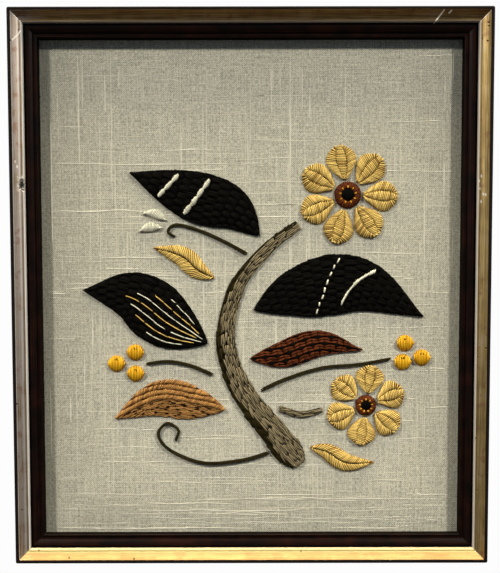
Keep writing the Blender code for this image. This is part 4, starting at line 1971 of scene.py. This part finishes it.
    def berries(self) -> None:
        """The gold berries in satin over a high pad, each with three dark seed stitches above its middle."""
        middles = {
            "berry_west_1": (-104, -52),
            "berry_west_2": (-121, -62),
            "berry_west_3": (-104, -71),
            "berry_east_1": (138, -44),
            "berry_east_2": (153, -57),
            "berry_east_3": (136, -61),
        }
        seeds = []
        for name, middle in middles.items():
            berry = self.round_motif(name, middle, 7.4, 2.6)
            body = [berry.padding(), berry.sewn(berry.across(1.4, 0.0, 0.3))]
            self.piece(f"{name}_gold", Yarn.GOLD, body, [name])
            seeds.append(berry.sewn(berry.dashes((0.42, 0.5), (0.58, 0.5), 3, 2.6, 0.8, 90), 0.2, 0.5))
        self.piece("berry_seeds", Yarn.BLACK, seeds)

    def blossom(
        self,
        name: str,
        middle: Point,
        core: float,
        inner: float,
        outer: float,
        petals: int,
        width: float,
        turn_deg: float,
    ) -> None:
        """A ring of straw petals round a russet core, with thin dark lines between their cells.

        Args:
            name: The blossom's name.
            middle: Its middle.
            core: Its core's radius.
            inner: The petals' start from the middle.
            outer: The petals' end from the middle.
            petals: How many petals it has.
            width: A petal's widest span.
            turn_deg: The first petal's direction.
        """
        lines = []
        cells = ((-1.0, -self.seam, -3.0), (-self.seam, self.seam, 1.8), (self.seam, 1.0, 3.0))
        for number in range(petals):
            angle = math.radians(turn_deg) + 2 * math.pi * number / petals
            route = tuple(
                (middle[0] + r * math.cos(angle), middle[1] + r * math.sin(angle))
                for r in np.linspace(inner, outer, 4)
            )
            node = f"{name}_petal_{number + 1}"
            petal = self.motif(node, Outline.PETAL, route, (width, 0, 2.0))
            body = [petal.padding()]
            for low, high, slant in cells:
                body.append(petal.sewn(petal.rungs(low, high, 1.5, slant)))
            self.piece(f"{node}_straw", Yarn.STRAW, body, [node])
            for w in (-self.seam, self.seam):
                lines.append(petal.sewn(petal.course(0.10, 0.93, w, 7, 0.6), 0.1, -0.05))
        self.piece(f"{name}_lines", Yarn.OLIVE, lines)
        self.core(f"{name}_core", middle, core)

    def core(self, name: str, middle: Point, radius: float) -> None:
        """A blossom's core: a russet ring of bundles round a dark eye with gold seeds.

        Args:
            name: The core's node.
            middle: Its middle.
            radius: Its radius.
        """
        core = self.round_motif(name, middle, radius, 2.4)
        count = int(radius * 3.6)
        turn = np.linspace(0, 2 * np.pi, count, endpoint=False)
        ring = pairs(np.cos(turn), np.sin(turn))
        centre = np.array([core.length / 2, 0.0])
        start = centre + ring * radius * 0.46
        end = centre + ring * (radius - 0.1)
        spokes = core.stitch_set(start, end, 1.5, 0.5, 0.2, 0.1)
        self.piece(f"{name}_russet", Yarn.RUSSET, [core.padding(0.4), core.sewn(spokes)], [name])
        eye_radius = radius * 0.5
        eye = core.across(1.2, 0.0, 0.3)
        eye = eye.kept(np.abs(eye.start[:, 0] - core.length / 2) < eye_radius)
        reach = np.sqrt(np.clip(eye_radius**2 - (eye.start[:, 0] - core.length / 2) ** 2, 0.4, None))
        eye.start[:, 1], eye.end[:, 1] = -reach, reach
        self.piece(f"{name}_eye", Yarn.BLACK, [core.sewn(eye, 0.5, 0.2)])
        seeds = 9
        turn = np.linspace(0, 2 * np.pi, seeds, endpoint=False) + 0.2
        ring = pairs(np.cos(turn), np.sin(turn))
        start = centre + ring * radius * 0.50
        end = centre + ring * radius * 0.66
        dots = core.stitch_set(start, end, 1.1, 0.5, 0.08, 0.05)
        self.piece(f"{name}_seeds", Yarn.GOLD, [core.sewn(dots, 0.1, 0.75)])

    def build(self) -> None:
        """Makes every motif of the design."""
        self.dark_leaves()
        self.tan_leaf()
        self.russet_leaf()
        self.straw_leaves()
        self.bough()
        self.tendrils()
        self.buds()
        self.berries()
        self.blossom("blossom_upper", (86, 88), 12.0, 14.0, 44.0, 7, 27.0, -2.0)
        self.blossom("blossom_lower", (103, -100), 9.5, 11.5, 36.0, 6, 26.0, 22.0)


@dataclass(frozen=True)
class Lamp:
    """A soft rectangular light that faces a point at or near the picture's middle."""

    name: str
    place: tuple[float, float, float]
    size: tuple[float, float]
    power: float
    colour: Colour
    spread_deg: float = 180.0
    aim: Point = (0.0, 0.0)

    def build(self, middle: Vector) -> None:
        """Adds the light, which aims at a point to the right and up from the picture's middle.

        Args:
            middle: The picture's middle.
        """
        data = bpy.data.lights.new(self.name, "AREA")
        data.shape = "RECTANGLE"
        data.size, data.size_y = self.size
        data.energy = self.power
        data.color = self.colour
        data.spread = math.radians(self.spread_deg)
        lamp = linked(self.name, data)
        aim = Vector((self.aim[0], 0.0, self.aim[1])) - Vector(self.place)
        lamp.location = middle + Vector(self.place)
        lamp.rotation_euler = aim.to_track_quat("-Z", "Y").to_euler()
        lamp.visible_camera = False


@dataclass
class Studio:
    """The camera at the photograph's angle, the lights, the floor and the pale surroundings."""

    opening: Opening
    backdrop: Colour = (0.98, 0.98, 0.98)
    ambient: Colour = (0.096, 0.124, 0.152)
    floor_colour: Colour = (0.20, 0.14, 0.10)
    floor_drop: float = 1.25
    floor_reach: float = 2.2
    lamps: tuple[Lamp, ...] = (
        Lamp("key_left", (-1.39, -1.2, 1.264), (0.2, 0.2), 3.3, (1.0, 0.968, 0.9), 48.6, (-0.12, -0.35)),
        Lamp("key_right", (1.39, -1.2, 1.264), (0.2, 0.2), 3.25, (1.0, 0.968, 0.89), 48.6, (0.12, -0.35)),
        Lamp("overhead", (0.0, -0.24, 1.5), (1.7, 0.28), 14.0, (1.0, 0.91, 0.68), 120.0),
        Lamp("behind", (0.0, 1.6, 0.9), (1.2, 0.6), 14.0, (1.0, 0.98, 0.95), 120.0),
    )

    def camera(self) -> None:
        """Sets the camera by the view."""
        data = bpy.data.cameras.new("camera")
        data.lens = VIEW.lens_mm
        data.shift_y = VIEW.rise
        camera = linked("camera", data)
        camera.matrix_world = VIEW.matrix()
        bpy.context.scene.camera = camera

    def surroundings(self) -> None:
        """A pale world that lights little, and a plain dark floor well below, which lights little too."""
        world = bpy.data.worlds.new("surroundings")
        world.use_nodes = True
        tree = world.node_tree
        tree.nodes.clear()
        path = tree.nodes.new("ShaderNodeLightPath")
        seen = tree.nodes.new("ShaderNodeBackground")
        seen.inputs["Color"].default_value = rgba(self.backdrop)
        dim = tree.nodes.new("ShaderNodeBackground")
        dim.inputs["Color"].default_value = rgba(self.ambient)
        mix = tree.nodes.new("ShaderNodeMixShader")
        out = tree.nodes.new("ShaderNodeOutputWorld")
        tree.links.new(path.outputs["Is Camera Ray"], mix.inputs[0])
        tree.links.new(dim.outputs[0], mix.inputs[1])
        tree.links.new(seen.outputs[0], mix.inputs[2])
        tree.links.new(mix.outputs[0], out.inputs["Surface"])
        bpy.context.scene.world = world
        corners = np.array([(-1.0, -1.0, 0.0), (1.0, -1.0, 0.0), (1.0, 1.0, 0.0), (-1.0, 1.0, 0.0)])
        points = self.floor_reach * corners
        points[:, 2] = self.opening.middle - self.floor_drop
        mesh = bpy.data.meshes.new("floor")
        mesh.from_pydata(points.tolist(), [], [(0, 1, 2, 3)])
        graph = Graph("floor")
        mesh.materials.append(graph.surface(Base_Color=rgba(self.floor_colour), Roughness=0.9))
        linked("floor", mesh)

    def build(self) -> None:
        """Adds the camera, the lights and the surroundings."""
        bpy.context.scene.view_settings.view_transform = "Standard"
        self.camera()
        self.surroundings()
        middle = Vector((0.0, self.opening.cloth, self.opening.middle))
        for lamp in self.lamps:
            lamp.build(middle)


def main() -> None:
    """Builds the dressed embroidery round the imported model."""
    logging.basicConfig(level=logging.INFO, format="%(name)s: %(message)s", stream=sys.stdout)
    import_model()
    opening = Opening.of_frame()
    LOG.info("frame %.3f x %.3f m, middle at %.4f", opening.width, opening.height, opening.middle)

    gilt, stain_edge, bead, face_end = gilt_moulding(opening)
    gilt.build(GiltFinish().material(stain_edge, bead, face_end, opening))
    dark, sight = dark_moulding(opening)
    dark.build(DarkStainFinish().material(sight))
    Ground(opening).build()
    Embroidery(opening).build()
    Studio(opening).build()


if __name__ == "__main__":
    main()
